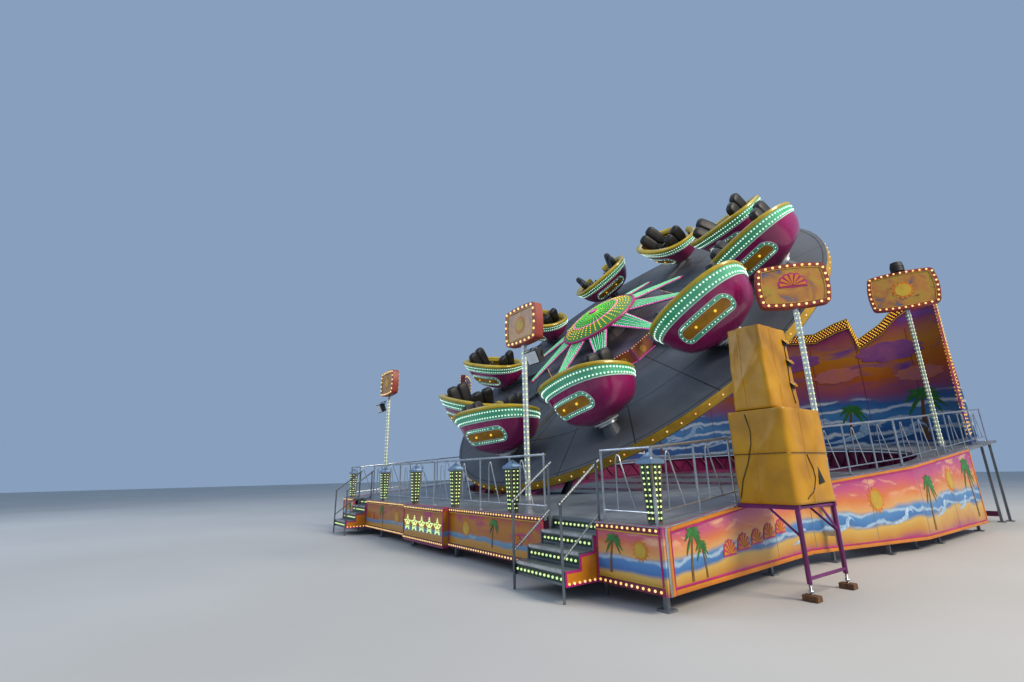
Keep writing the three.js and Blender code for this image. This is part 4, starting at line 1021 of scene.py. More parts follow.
def shell_fan(radius, ribs=7):
    """A scallop: tapering ribs that spread like a fan over a rounded back plate; finishes 2 and 4."""
    turn = np.linspace(-0.15, np.pi + 0.15, 24)
    edge = 1 + 0.05 * np.cos(2 * ribs * (turn - np.pi / 2))
    back = np.c_[np.cos(turn) * edge, np.sin(turn) * edge] * 1.1
    back = np.r_[back, [[-0.12, -0.2], [0.12, -0.2]]] * radius
    parts = [(*plate(back, 0, .006, .001), 4)]
    for heading in np.linspace(0.1, np.pi - 0.1, ribs):
        line = np.linspace(0.08, 1, 5)[:, None] * [radius * math.cos(heading), radius * math.sin(heading)]
        parts.append((*strip(line, np.linspace(0.03, 0.3, 5) * radius, .005, .013), 2))
    return parts


def wave_curl(size):
    """A breaking crest: a long rising back that turns over through 150 degrees and ends thin; finish 5."""
    t = np.linspace(0, 1, 14)
    turn = np.pi * 1.05 - 2.9 * t
    crest = np.c_[np.cos(turn), np.sin(turn)] * (0.34 - 0.16 * t)[:, None] + [0.36, 0.34]
    tail = np.c_[np.linspace(-1.3, -0.02, 9), 0.26 * np.linspace(0, 1, 9) ** 2]
    width = np.concatenate([np.linspace(0.01, 0.2, 9), np.linspace(0.24, 0.02, 14)])
    return [(*strip(np.concatenate([tail, crest]) * size, width * size, 0, .006), 5)]


print("a palm has", len(palm(1)), "parts, a shell", len(shell_fan(1)))

# %% [markdown]
# Along each side the motifs stand in the order of the original picture: palms at the front corner, a
# row of shells, then waves with suns and tall palms. The left side is the mirror image of the right one.
# The front boards have smaller ones, and five outlined stars of bulbs stand on the sign between the stairs.

# %% Motifs and stars on the boards
def laid_on(run, along, height, parts):
    """Motif parts carried on to a board: x runs along it, y is up, and z comes out of it."""
    return [(on_run(run, along + points[:, 0], 0, points[:, 2], height + points[:, 1])[0], faces, finish)
            for points, faces, finish in parts]


MOTIF_FINISH = [TRUNK_BROWN, LEAF_GREEN, BORDER_ORANGE, LINE_YELLOW, BORDER_PINK, WAVE_WHITE]
side_motifs = [(0.52, 0.3, palm(0.56)), (0.86, 0.3, palm(0.4, -0.2))]
side_motifs += [(1.5 + 0.42 * k, 0.52 + 0.037 * k, shell_fan(0.17 + 0.01 * (k % 2))) for k in range(5)]
side_motifs += [(along, height, wave_curl(size)) for along, height, size in (
    (4.0, .42, .34), (5.35, .5, .4), (7.2, .55, .44), (9.2, .6, .46), (10.8, .65, .44))]
side_motifs += [(6.35, 1.02, sun(0.17)), (10.05, 1.3, sun(0.2)), (8.35, 0.34, palm(0.95)),
                (11.7, 0.4, palm(1.2, -0.14))]
motifs = [part for spot in side_motifs for part in laid_on(SIDE_RUN, *spot)]
motifs += mirrored(motifs)
for spot in ((CORNER_RUN, 0.25, 0.36, palm(0.42)), (CORNER_RUN, 0.78, 0.68, sun(0.09)),
             (LEFT_CORNER_RUN, 0.8, 0.36, palm(0.4, -0.16)), (LEFT_CORNER_RUN, 0.35, 0.68, sun(0.09)),
             (RIGHT_RUN, 0.75, 0.62, sun(0.11)), (RIGHT_RUN, 1.7, 0.36, palm(0.42)),
             (RIGHT_RUN, 2.5, 0.5, shell_fan(0.13)), (LEFT_RUN, 2.4, 0.62, sun(0.11)),
             (LEFT_RUN, 1.4, 0.36, palm(0.42, -0.2)), (LEFT_RUN, 0.6, 0.5, shell_fan(0.13))):
    motifs += laid_on(*spot)
build("board_motifs", motifs, MOTIF_FINISH)

STAR = np.roll(circle(10)[:, :2] * np.where(np.arange(10) % 2, 0.075, 0.17)[:, None], 1, 1)
STAR = np.r_[STAR, STAR[:1]]
stars = []
for middle in 0.26 + 0.4 * np.arange(5):
    for shape, radius in ((at_walk(STAR, np.arange(30) * walked(STAR)[-1] / 30), 0.015),
                          (circle(10, 0.03)[:, :2], 0.013)):
        line, out = on_run(SIGN_RUN, middle + shape[:, 0], 0, 0.006, 0.57 + shape[:, 1])
        stars.append(bulbs(line, radius, out))
build("front_sign_star_bulbs", stars, [BULB_GREENISH])

# %% [markdown]
# ## Deck, chassis and tilt frame
# The deck and the treads are rolled aluminium plate with raised bars, laid as separate sheets, dull where
# feet have worn it. Under the disc the well floor is grey sheet with corrugated magenta steel round it.
# The bars are drawn twice as coarse as real ones so that they survive at this distance.

# %% Ribbed plate
def ribbed(name, code, worn, rib_m, panel_m, metal, rough, along="X"):
    """Bars from one sine wave of period rib_m, and a dark seam where x or y passes a multiple of panel_m."""
    material, tree, place = new_material(name)
    axes = add(tree, "SeparateXYZ", {"Vector": place})
    seams = [add(tree, "Math", [axes.outputs[k], size / 2], operation="PINGPONG")
             for k, size in enumerate(panel_m)]
    nearest = add(tree, "Math", [seams[0], seams[1]], operation="MINIMUM")
    seam = add(tree, "MapRange", [nearest, 0.003, 0.008])
    bars = add(tree, "TexWave", {"Vector": place, "Scale": 2 * math.pi / 20 / rib_m, "Distortion": 0.0},
               bands_direction=along)
    wear = add(tree, "TexNoise", {"Vector": place, "Scale": 0.9, "Detail": 8.0, "Roughness": 0.65})
    tint = add(tree, "ValToRGB", [wear], [(0.35, worn), (0.62, code)])
    shaded = add(tree, "MixRGB", [seam, linear("#26282b"), tint])
    gloss = add(tree, "MapRange", [wear, 0.3, 0.7, rough, rough + 0.2])
    relief = add(tree, "Bump", {"Height": bars.outputs["Fac"], "Strength": 0.35, "Distance": 0.004})
    groove = add(tree, "Bump", {"Height": seam, "Strength": 0.7, "Distance": 0.004, "Normal": relief})
    shader = add(tree, "BsdfPrincipled", {"Base Color": shaded, "Roughness": gloss, "Normal": groove,
                                          "Metallic": metal})
    add(tree, "OutputMaterial", {"Surface": shader})
    return material


DECK_TREAD = ribbed("deck_ribbed_aluminium_plate", "#8f959b", "#6c7177", 0.05, (1.25, 2.5), 0.6, 0.38)
STAIR_TREAD = ribbed("stair_rolled_aluminium_plate", "#7f878c", "#5d6468", 0.04, (9, 9), 0.6, 0.35, "Y")
WELL_PLATE = ribbed("well_floor_grey_sheet", "#7b8186", "#5a5f65", 0.08, (2.4, 1.2), 0.5, 0.42, "Y")
WELL_RIBBED = ribbed("well_corrugated_magenta_steel", "#8f1c58", "#5c1440", 0.12, (2.4, 1.2), 0.1, 0.4, "Y")
dress(DECK_TREAD, "deck_front", "deck_right", "deck_left", "deck_rear")
dress(STAIR_TREAD, "stairs_right", "stairs_left")
dress(WELL_PLATE, "well_floor")
dress(CHASSIS_PAINT, "chassis_rail_right", "chassis_rail_left", "outrigger_front", "outrigger_middle",
      "outrigger_rear", "cylinder_beam")
dress(TILT_PAINT, "tilt_frame")
dress(BARREL_PAINT, "cylinder_barrel_right", "cylinder_barrel_left")
dress(ROD_CHROME, "cylinder_rod_right", "cylinder_rod_left")
print("plates dressed")

# %% [markdown]
# The ring of the opening hangs from a magenta lattice girder, seen from outside as a zigzag between two
# tubes. Corrugated panels fill the space from the floor of the well out to that girder, and flat lattice
# strips lie across the floor. All of it follows a circle or a line at a drop below the sloping deck.

# %% Ring girder and well panels
WELL_Y = 0.877
GIRDER_RADIUS = 6.715
WELL_FLOOR = np.array([(-4.6, -.7), (4.6, -.7), (5.2, 3.0), (4.0, 6.2), (-4.0, 6.2), (-5.2, 3.0)])


def ring_line(turn, radius, drop):
    """Points round the opening: x = r cos t, y = 0.877 + r sin t, at a drop below the deck's top."""
    turn, radius, drop = np.broadcast_arrays(turn, radius, drop)
    y = WELL_Y + radius * np.sin(turn)
    return np.c_[radius * np.cos(turn), y, deck_top(y) - drop]


def floor_edge(turn):
    """Distance from the middle of the opening to the edge of the well floor, read off its outline."""
    share = np.linspace(0, 1, 40, endpoint=False)[:, None]
    edge = np.concatenate([a + (b - a) * share for a, b in zip(WELL_FLOOR, np.roll(WELL_FLOOR, -1, 0))])
    edge = edge - [0, WELL_Y]
    heading, reach = np.arctan2(edge[:, 1], edge[:, 0]), np.hypot(edge[:, 0], edge[:, 1])
    order = np.argsort(heading)
    return np.interp(turn, heading[order], reach[order], period=2 * np.pi)


def ring_wall(first, last, count, corners):
    """A closed section of (radius, drop) corners carried round the opening between two angles."""
    turn = np.radians(np.linspace(first, last, count))
    lines = [ring_line(turn, floor_edge(turn) + 0.004 if radius is None else radius, drop)
             for radius, drop in corners]
    return patch(np.stack(lines, 1), False, True, (0, -1))


turn = np.radians(np.linspace(-38, 218, 97))
girder = [tube(ring_line(turn, GIRDER_RADIUS, drop), 0.022, 8) for drop in (0.12, 0.62)]
drops = np.where(np.arange(97) % 2, 0.13, 0.61)
girder.append(tube(ring_line(turn, GIRDER_RADIUS, drops), 0.024, 6))
girder.append((*ring_wall(-17.5, 197.5, 90, [(None, 0.666), (None, 0.646), (6.70, 0.646), (6.70, 0.666)]), 1))
girder.append((*ring_wall(12, 168, 80, [(6.745, 0.655), (6.745, 0.09), (6.755, 0.09), (6.755, 0.655)]), 1))
zigzag = np.c_[np.linspace(-4.2, 4.2, 29), 0.36 * (np.arange(29) % 2)]
for y in (0.1, 2.0, 3.9, 5.6):
    for line, width in ((zigzag, 0.06), (zigzag[[0, -1]], 0.07), (zigzag[[0, -1]] + [0, 0.36], 0.07)):
        points, faces = strip((line + [0, y]) * [0.9 if y > 5 else 1, 1], width, 0.0, 0.014)
        points[:, 2] += deck_top(points[:, 1]) - 0.651
        girder.append((points, faces))
build("well_girder_and_panels", girder, [TILT_PAINT, WELL_RIBBED])

# %% [markdown]
# The tilt frame is a welded ladder of box beams. Diagonal tubes stiffen it between the beams, and a
# triangle of plate closes each corner. Both ride on the tilt frame. The chassis rails stand on bolted
# foot plates and have a rib at every metre, which stay on the ground.

# %% Frame diagonals and gussets
braces = []
levels = [-4.6, -3.7, -2.4, -0.1, 2.4, 5.1]
for number, (low, high) in enumerate(zip(levels[:-1], levels[1:])):
    side = 1 if number % 2 else -1
    line = np.linspace([-1.05 * side, low + 0.1, -0.38], [1.05 * side, high - 0.1, -0.38], 3)
    braces.append(tube(line, 0.035, 10))
gusset = plate([(0, 0), (0.3, 0), (0, 0.3)], -0.006, 0.006, 0.002)
for y in (-3.81, 0.09, 2.49):
    for side in (1, -1):
        place = frame_of([-side, 0, 0], [0, 1, 0], [0, 0, -side], [side * 1.058, y, -0.33])
        braces.append(moved(place, gusset))
build("tilt_frame_diagonals", [moved(DISC, part) for part in braces], [TILT_PAINT], "tilt_frame")

RAIL_X = 1.15
underside = []
foot = [plate(rectangle(.14, .14), 0.04, 0.052, 0.004), (*bolts(0.11, 0.052, 4, 0.014, 0.014), 1)]
for y in (-6.5, -1.5, 6.5):
    underside += [shifted([x, y, 0], part) for x in (-RAIL_X, RAIL_X) for part in foot]
rib = plate(rectangle(.05, .14, (0, .45)), 0.0, 0.008, 0.002)
for y in np.linspace(-7.0, 7.0, 15):
    for x in (-RAIL_X - 0.108, RAIL_X + 0.1):
        underside.append(moved(facing([1, 0, 0], [x, y, 0]), rib))
build("chassis_pads_and_ribs", underside, [CHASSIS_PAINT, RAIL_STEEL])

# %% [markdown]
# ## Stairs
# Each flight has four risers with a row of pale green bulbs, folded treads with a worn nosing, and a
# stepped painted panel on each cheek. The panel follows the profile of the steps, with a magenta edge
# and warm bulbs along its foot, in one line with the boards beside it.

# %% Stair lights, nosings and cheeks
RISER, GOING = 0.196655, 0.27
LEVEL = 0.2 + RISER * np.arange(5)
BACK_Y = -7.6104
NOSE = BACK_Y - GOING * (4 - np.arange(5))
treads = []
riser = [(*plate(rectangle(.56, .05), 0, .003, .001), 2)]
riser.append(bulbs(np.c_[np.linspace(-.5, .5, 12), np.zeros(12), np.full(12, .004)], 0.02))
nosing = [(.001, -.0405), (.001, .002), (-.004, .004), (-.03, .004), (-.03, .0005), (.0005, .0005)]
for i in range(1, 5):
    face = NOSE[i] + 0.014 if i < 4 else BACK_Y - 0.024
    place = facing(FRONT, [4.87, face, (LEVEL[i - 1] + LEVEL[i]) / 2 - 0.01])
    treads += [moved(place, part) for part in riser]
    if i < 4:
        edge = [[4.3, NOSE[i], LEVEL[i]], [5.44, NOSE[i], LEVEL[i]]]
        treads.append((*sweep(edge, FRONT, UP, nosing), 1))
front = NOSE - .006
cheek = np.array([(front[1], .2), (BACK_Y, .2), (BACK_Y, LEVEL[4] - .026), (BACK_Y - .09, LEVEL[4] - .026),
                  (BACK_Y - .09, LEVEL[3] - .004), (front[3], LEVEL[3] - .004), (front[3], LEVEL[2] - .004),
                  (front[2], LEVEL[2] - .026), (front[2], LEVEL[1] - .004), (front[1], LEVEL[1] - .004)])
for x, flip in ((5.465, 1), (4.275, -1)):
    outline = cheek if flip > 0 else (cheek * [-1, 1])[::-1]
    spots = np.c_[flip * np.linspace(NOSE[1] + .05, -7.9, 6), np.full(6, .235), np.full(6, .009)]
    for shape, finish in ((plate(outline, 0, .005, .002), 3), (border(outline, .028, .004, .009), 4),
                          (bulbs(spots, 0.018), 5)):
        treads.append((*moved(facing([flip, 0, 0], [x, 0, 0]), shape), finish))
build("stair_lights_and_cheeks", treads + mirrored(treads),
      [BULB_GREENISH, RAIL_STEEL, COLUMN_GREEN, BORDER_ORANGE, BORDER_PINK, BULB_WARM])

# %% [markdown]
# ## Rails and light columns
# The guard rails are polished tube. Each bay has a hand rail, a lower bar and one bent hairpin, and
# every post stands on a small foot plate that is bolted through the deck. These round tubes take the
# place of the coarser bars of the CAD rails, on the same lines and with the same posts.

# %% Bays of a guard rail
RAIL_TOP, LOWER_BAR = 0.98, 0.15
DECK_SLANT = math.atan(DECK_CLIMB)
HAIRPIN = np.array([(.30, LOWER_BAR), (.31, .80), (.325, .87), (.345, .905), (.37, .905), (.395, .87),
                    (.41, .8), (.66, LOWER_BAR)])


def rail_bays(start, end, bays):
    """Points at a share of the way from start to end, raised above the deck, joined by tubes."""
    def at(share, rise):
        plan = start + np.atleast_1d(share)[:, None] * np.subtract(end, start)
        return np.c_[plan, deck_top(plan[:, 1]) + rise]

    foot = [plate(rectangle(.05, .05), 0.001, 0.009, 0.003)]
    heads, faces = moved(spun("z", math.pi / 4), bolts(0.055, 0.009, 4, 0.007, 0.006))
    foot.append((heads * [.9, .9, 1], faces))
    parts = [tube(at([0, 1], RAIL_TOP), 0.021, 12), tube(at([0, 1], LOWER_BAR), 0.014, 8)]
    for share in np.clip(np.arange(bays + 1) / bays, 0.004, 0.996):
        parts.append(tube(at([share, share], [0.004, RAIL_TOP]), 0.018, 10))
        parts += [moved(spun("x", DECK_SLANT, at(share, 0)[0]), shape) for shape in foot]
    parts += [tube(at((k + HAIRPIN[:, 0]) / bays, HAIRPIN[:, 1]), 0.011, 8) for k in range(bays)]
    return parts


print("one bay has", len(rail_bays((0, 0), (1, 0), 1)), "parts")

# %% [markdown]
# The light columns at the front are square cases in weathered bronze that widen upwards, with two green
# strips of pale bulbs on each side and a blue-silver cap. The four sides are alike, so one side is drawn
# flat and turned in steps of a quarter, with a slight lean that follows the taper of the case.

# %% Light columns and rails
def light_column(x, y):
    """Square taper with four bulb panels, a collar and a pyramid cap: rings of four corners, joined up."""
    foot = np.array([x, y, deck_top(y)])
    parts = []
    for finish, rings in ((1, [(.067, .008), (.067, .012), (.105, .768), (.105, .77)]),
                          (2, [(.126, .76), (.134, .768), (.134, .806), (.128, .812), (.1, .83), (.02, .918),
                               (.004, .923)])):
        corners = np.stack([np.c_[rectangle(half, half), np.full(4, rise)] for half, rise in rings])
        parts.append((*shifted(foot, patch(corners, False, True, (0, -1))), finish))
    panels = []
    for lane in (-1, 1):
        panel = [(lane * .027 - .021, .03), (lane * .027 + .021, .03), (lane * .045 + .026, .745),
                 (lane * .045 - .026, .745)]
        panels.append((*plate(panel, .0005, .006, .002), 3))
        rise = np.linspace(.065, .71, 10)
        spots = np.c_[lane * np.interp(rise, [.03, .745], [.027, .045]), rise, np.full(10, .006)]
        panels.append((*bulbs(spots, .016), 4))
    lean = unit([0, 0.76, 0.038])
    for c, s in ((1, 0), (0, 1), (-1, 0), (0, -1)):
        out = [s * lean[1], -c * lean[1], -lean[2]]
        place = facing(out, foot + [.067 * s, -.067 * c, .012], [c, s, 0])
        parts += [moved(place, part) for part in panels]
    return parts


COLUMN_BRONZE = painted("column_weathered_bronze_enamel", "#77705f", "#54503f", 0.4)
RAIL_FINISH = [RAIL_STEEL, COLUMN_BRONZE, CAP_BLUE, COLUMN_GREEN, BULB_GREENISH]
RAIL_Y = -7.69
front_rail = rail_bays((-4.21, RAIL_Y), (4.21, RAIL_Y), 8)
for x in (-3.24, -1.06, 1.06, 3.24):
    front_rail += light_column(x, RAIL_Y)
side_rail = [part for bay in (((5.53, RAIL_Y), (6.45, RAIL_Y), 1), ((6.45, RAIL_Y), (6.15, -3.5), 4),
                              ((6.15, -3.5), (6.85, 0), 4), ((6.85, 0), (6.85, 7.55), 6))
             for part in rail_bays(*bay)]
side_rail += light_column(6.37, -7.62)
for side, parts in (("front", front_rail), ("right", side_rail), ("left", mirrored(side_rail))):
    rail = build(f"{side}_guard_rail", parts, RAIL_FINISH, crease=40)
    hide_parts(f"rail_{side}")

# %% [markdown]
# ## Masts with lamp-edged boards
# Six square aluminium posts carry light boxes. Each box has a brick-red steel rim with warm bulbs all
# round it and a sprayed middle in orange, yellow and blue. The posts have their own strips of bulbs. The
# outline of a box bulges a little on all four sides, and comes from the same curves as in the CAD model.

# %% Sign middle and outline
def sprayed_middle():
    """Soft colours picked by broad noise, in patches about half a metre across."""
    material, tree, place = new_material("sign_sprayed_middle")
    cloud = add(tree, "TexNoise", {"Vector": place, "Scale": 2.2, "Detail": 5.0, "Distortion": 1.2})
    paint = add(tree, "ValToRGB", [cloud], [(0.3, "#3a5f92"), (0.42, "#a8743c"), (0.52, "#c4843a"),
                                            (0.62, "#b99a34"), (0.72, "#94382c")])
    fine = add(tree, "TexNoise", {"Vector": place, "Scale": 90.0, "Detail": 2.0})
    relief = add(tree, "Bump", {"Height": fine, "Strength": 0.08, "Distance": 0.001})
    shader = add(tree, "BsdfPrincipled", {"Base Color": paint, "Normal": relief, "Roughness": 0.35,
                                          "Coat Weight": 0.3})
    add(tree, "OutputMaterial", {"Surface": shader})
    return material


def bent_outline(w, h, count=5):
    """Eight quadratic curves through the corners and the bulging sides, anticlockwise from the foot."""
    bulge, soft = w * 0.1, w * 0.2
    half = np.array([(-w + soft, -h), (0, -h - bulge), (w - soft, -h), (w, -h), (w, -h + soft),
                     (w + bulge, 0), (w, h - soft), (w, h)])
    knots = np.concatenate([half, -half, half[:1]])
    t = np.linspace(0, 1, count + 1)[:-1, None]
    return np.concatenate([(1 - t) ** 2 * knots[k] + 2 * t * (1 - t) * knots[k + 1] + t ** 2 * knots[k + 2]
                           for k in range(0, 16, 2)])


def evenly(outline, gap):
    """Points at an even gap of about the given length round a closed outline."""
    closed = np.r_[outline, outline[:1]]
    length = walked(closed)[-1]
    count = round(length / gap)
    return at_walk(closed, np.arange(count) / count * length)


SIGN_MIDDLE = sprayed_middle()
print("a sign has", len(evenly(bent_outline(0.48, 0.36), 0.135)), "bulbs round it")

# %% [markdown]
# Both faces of a box are alike, so one face is drawn flat and turned round for the other side. Three
# sides of every post have a white strip with bulbs every 100 mm, from the deck up to the box.

# %% Sign boxes
def sign_box(x, y, height, turn, w, h, foot, motif):
    """Case, rim, middle, bulbs and motif of one sign, and the bulb strips of its post."""
    outline = bent_outline(w, h)
    spots = evenly(inset(outline, .042), 0.135)
    face = [border(outline, .085, .08, .095), (*border(inset(outline, .085), .012, .08, .1), 3),
            (*plate(inset(outline, .09), .08, .087, .003), 1),
            (*bulbs(np.c_[spots, np.full(len(spots), .095)], .026), 2)]
    face += [(points + [0, 0, .087], faces, finish + 4) for points, faces, finish in motif]
    back = frame_of([-1, 0, 0], [0, 1, 0], [0, 0, -1], [0, 0, 0])
    parts = [plate(inset(outline, -0.004), -.083, .083, .006), *face, *[moved(back, part) for part in face]]
    place = facing([math.sin(turn), -math.cos(turn), 0], [x, y, height])
    parts = [moved(place, part) for part in parts]
    rise = np.arange(foot + 0.3, height - h - 0.12, 0.1)
    for out in np.array([(0, -1, 0), (1, 0, 0), (-1, 0, 0)]):
        path = [[x, y, foot + .2], [x, y, height - h - .08]] + out * .038
        trim = [(-.024, -.001), (-.02, .004), (.02, .004), (.024, -.001)]
        parts.append((*sweep(path, np.cross(out, UP), out, trim), 9))
        spots = np.c_[np.full((len(rise), 2), [x, y]), rise] + out * .042
        parts.append((*bulbs(spots, .015, out), 10))
    return parts


SIGN_FINISH = [SIGN_RED, SIGN_MIDDLE, BULB_WARM, LINE_YELLOW, TRUNK_BROWN, LEAF_GREEN, BORDER_ORANGE,
               LINE_YELLOW, BORDER_PINK, WHITE_CASE, BULB_GREENISH]
# Each row gives x, y and height, the turn, half the width and height, and the foot of the bulb strips.
for name, numbers, motif in (
        ("front", (3.55, -7.57, 4.45, 0, .48, .36, deck_top(-7.57)), sun(0.12)),
        ("side", (6.63, -3.1, 5.175, .7, .627, .428, 1.5), shell_fan(0.24)),
        ("rear", (6.925, 2.72, 6.2, .35, .72, .49, deck_top(2.72)), sun(0.17))):
    parts = sign_box(*numbers, motif)
    build(f"{name}_sign_right", parts, SIGN_FINISH)
    build(f"{name}_sign_left", mirrored(parts), SIGN_FINISH)
    dress(POLE_STEEL, f"mast_{name}_right", f"mast_{name}_left")

# %% [markdown]
# The front masts carry a small black floodlight on a bracket, and the rear ones have a dark ribbed drum
# lamp on top. The lamp's case is a soft box that looks outwards and 25 degrees down.

# %% Floodlights and drum lamps
aim = spun("x", math.radians(90 + 25), [3.98, -7.66, 3.72])
yoke = [[3.79, -7.62, 3.72], [3.79, -7.6, 3.92], [4.17, -7.6, 3.92], [4.17, -7.62, 3.72]]
drum = turned([(.02, 0), (.15, 0), (.16, .02), (.15, .06), (.16, .08), (.15, .12), (.16, .14), (.15, .18),
               (.13, .27), (.02, .28)], 20)
mast_lamps = [moved(aim, plate(rectangle(.17, .13), -.09, .06, .012)),
              (*moved(aim, plate(rectangle(.15, .11), .055, .066, .004)), 1), tube(yoke, .012, 8),
              (*tube([[3.56, -7.57, 3.92], [3.98, -7.6, 3.92]], .018, 8), 2),
              shifted([6.925, 2.72, 6.738], drum)]
build("mast_floodlights_and_drums", mast_lamps + mirrored(mast_lamps), [LAMP_BLACK, WHITE_CASE, RAIL_STEEL])

# %% [markdown]
# ## Backdrop and wings
# The tall boards at the back have a wavy top edge with four rows of yellow bulbs on a maroon band. The
# rows follow the edge, each a little lower than the last. Below are a large sun, rolling clouds and a
# row of curling waves, all generic motifs in the colours of the original. The rear is grey primer.

# %% Backdrop lights and motifs
FACE_Y = 7.69
EDGE = np.array([(0, 7.3), (.9, 7.25), (1.8, 6.95), (2.6, 6.8), (3.4, 7.05), (3.85, 7.12), (4.05, 6.24),
                 (4.8, 6.63), (5.36, 7.12), (6.4, 7.65)])
EDGE = np.r_[EDGE[:0:-1] * [-1, 1], EDGE]
LEDGE = (-.02, .01)
path = np.c_[EDGE[:, 0], np.full(len(EDGE), FACE_Y), EDGE[:, 1]]
back = [sweep(path, UP, FRONT, flat_bar(-.36, -.004, .008))]
for drop, thick in ((.377, .03), (.012, .034)):
    back.append((*sweep(path - [0, 0, drop], UP, FRONT, flat_bar(*LEDGE, thick)), 1))
length = walked(EDGE)[-1]
steps = np.arange(0.06, length, 0.105)
for row, drop in enumerate((.07, .145, .22, .295)):
    line = at_walk(path, np.clip(steps + 0.0525 * (row % 2), 0, length - 0.03))
    back.append((*bulbs(line - [0, 0.008, drop], .024, FRONT), 2))


def cloud(width):
    """Outline r = 1 + 0.16 |sin 4.5 t| in a flattened ellipse, as a sprayed cloud with scalloped edge."""
    turn = np.arange(72) * 2 * np.pi / 72
    reach = 1 + 0.16 * np.abs(np.sin(4.5 * turn))
    return plate(np.c_[np.cos(turn) * reach, 0.36 * np.sin(turn) * reach] * width / 2, 0, .008, .003)


spots = [(x, z, finish, [(*cloud(width), 0)]) for x, z, width, finish in (
    (-4.9, 5.75, 1.9, 3), (-3.3, 5.2, 1.3, 4), (-1.9, 6.1, 1.5, 3), (1.7, 5.75, 1.7, 3), (3.1, 5.0, 1.4, 4),
    (4.9, 5.6, 1.8, 3), (5.6, 4.7, 1.2, 4), (-5.4, 4.6, 1.3, 4))]
spots.append((0.1, 5.35, 3, sun(0.62, 22)))
spots += [(x, 2.7 + 0.3 * math.sin(1.7 * k), 2, wave_curl(0.95 + 0.2 * math.sin(2.3 * k)))
          for k, x in enumerate(np.linspace(-4.9, 5.0, 8))]
spots += [(x, 2.45, 8, palm(height, lean))
          for x, height, lean in ((-5.4, 1.5, -0.1), (5.4, 1.5, 0.1), (3.2, 1.2, 0.14))]
for x, z, first, parts in spots:
    place = facing(FRONT, [x, FACE_Y, z])
    back += [(*moved(place, (points, faces)), first + finish) for points, faces, finish in parts]
for seam in np.linspace(-5.5, 5.5, 8):
    ends = [[seam, FACE_Y, 2.4], [seam, FACE_Y, 6.3]]
    back.append((*sweep(ends, [1, 0, 0], FRONT, flat_bar(-.008, .008, .003)), 10))
CLOUD_PURPLE = painted("painted_cloud_purple", "#8a4a92", "#b0628a", 0.38, patch_m=0.5)
CLOUD_PEACH = painted("painted_cloud_peach", "#d07a5a", "#c06a86", 0.38, patch_m=0.5)
build("backdrop_lights_and_motifs", back,
      [BAND_MAROON, LINE_YELLOW, BULB_YELLOW, CLOUD_PURPLE, CLOUD_PEACH, BORDER_ORANGE, LINE_YELLOW,
       WAVE_WHITE, TRUNK_BROWN, LEAF_GREEN, BAND_MAROON])

# %% [markdown]
# The wings fold forwards from the ends of the backdrop, with a top edge that falls steeply. Bulbs follow
# the outline of both faces in single rows, and a maroon band with a yellow ledge runs under the top edge.

# %% Wing lights
START, END = np.array([6.46, 7.67, 0]), np.array([6.76, 6.02, 0])
WING_TOP, WING_FALL, WING_LENGTH = 7.5, 3.9, 1.677
along = unit(END - START)
reach, fall = np.linspace(0.05, 1.62, 16), np.arange(2.6, 7.2, .11)
slope = WING_TOP - WING_FALL * reach / WING_LENGTH
lines = [(reach, slope - .09), (reach, slope - .19), (np.full(9, 1.6), np.arange(2.5, 3.45, .11)),
         (np.full(len(fall), .07), fall)]
wing = []
for origin, side in ((START, -1), (START + [.04, .01, 0], 1)):
    out = unit(side * np.array([abs(along[1]), abs(along[0]), 0]))
    for walk, height in lines:
        spots = origin + walk[:, None] * along + out * .006 + height[:, None] * UP
        wing.append(bulbs(spots, .022, out))
    ends = np.array([origin + [0, 0, WING_TOP], origin + WING_LENGTH * along + [0, 0, WING_TOP - WING_FALL]])
    ends = ends + out * .001
    wing.append((*sweep(ends, UP, out, flat_bar(-.26, -.004, .006)), 1))
    wing.append((*sweep(ends - [0, 0, .27], UP, out, flat_bar(*LEDGE, .012)), 2))
build("wing_lights", wing + mirrored(wing), [BULB_YELLOW, BAND_MAROON, LINE_YELLOW])

# %% [markdown]
# ## Hub boards
# Ten sloping boards close the side of the hub's mauve grey cone, and each one has a spoke beam coming
# through its foot. They are burnt orange with a pink edge, a row of bulbs along the top, a pink light
# line below and a cut-out sun or shell in each half. A board's own axes run along it, up and outwards.

# %% Hub boards
# A board is 0.409 m high: it rises 0.38 m while it comes in 0.152 m, so its face looks a little upwards.
HUB_FOOT, BOARD_RISE, BOARD_IN, BOARD_HIGH = 2.5107, .38, .152, .409
hub = []
panel = np.array([(.11, .012), (.79, .012), (.752, .4), (.11, .4)])
spots = np.c_[np.linspace(-.7, .7, 17), np.full(17, .385), np.full(17, .012)]
for number, angle in enumerate(SPOKES):
    c, s = math.cos(angle), math.sin(angle)
    board = [(*bulbs(spots, .013), 6)]
    for flip in (-1, 1):
        outline = panel if flip > 0 else (panel * [-1, 1])[::-1]
        board.append(border(outline, .026, .0005, .012))
        board.append((*plate(inset(outline, .026), .0005, .004, .001), 1))
        motif = sun(.075, 10) if (number + (flip > 0)) % 2 else shell_fan(.11, 5)
        board += [shifted([flip * .45, .17, .004], part) for part in motif]
        board.append((*tube(np.linspace([flip * .11, .004, .008], [flip * .8, .004, .008], 3), .009, 6), 5))
    out = np.array([BOARD_RISE * c, BOARD_RISE * s, BOARD_IN]) / BOARD_HIGH
    place = facing(out, [HUB_FOOT * c, HUB_FOOT * s, 0.001], [-s, c, 0])
    hub += [moved(DISC @ place, part) for part in board]
build("hub_boards", hub,
      [BORDER_PINK, HUB_BOARD, LINE_YELLOW, BORDER_ORANGE, BAND_MAROON, TUBE_PINK, BULB_WARM],
      "turntable")
dress(SKIRT_GREY, "hub_skirt")

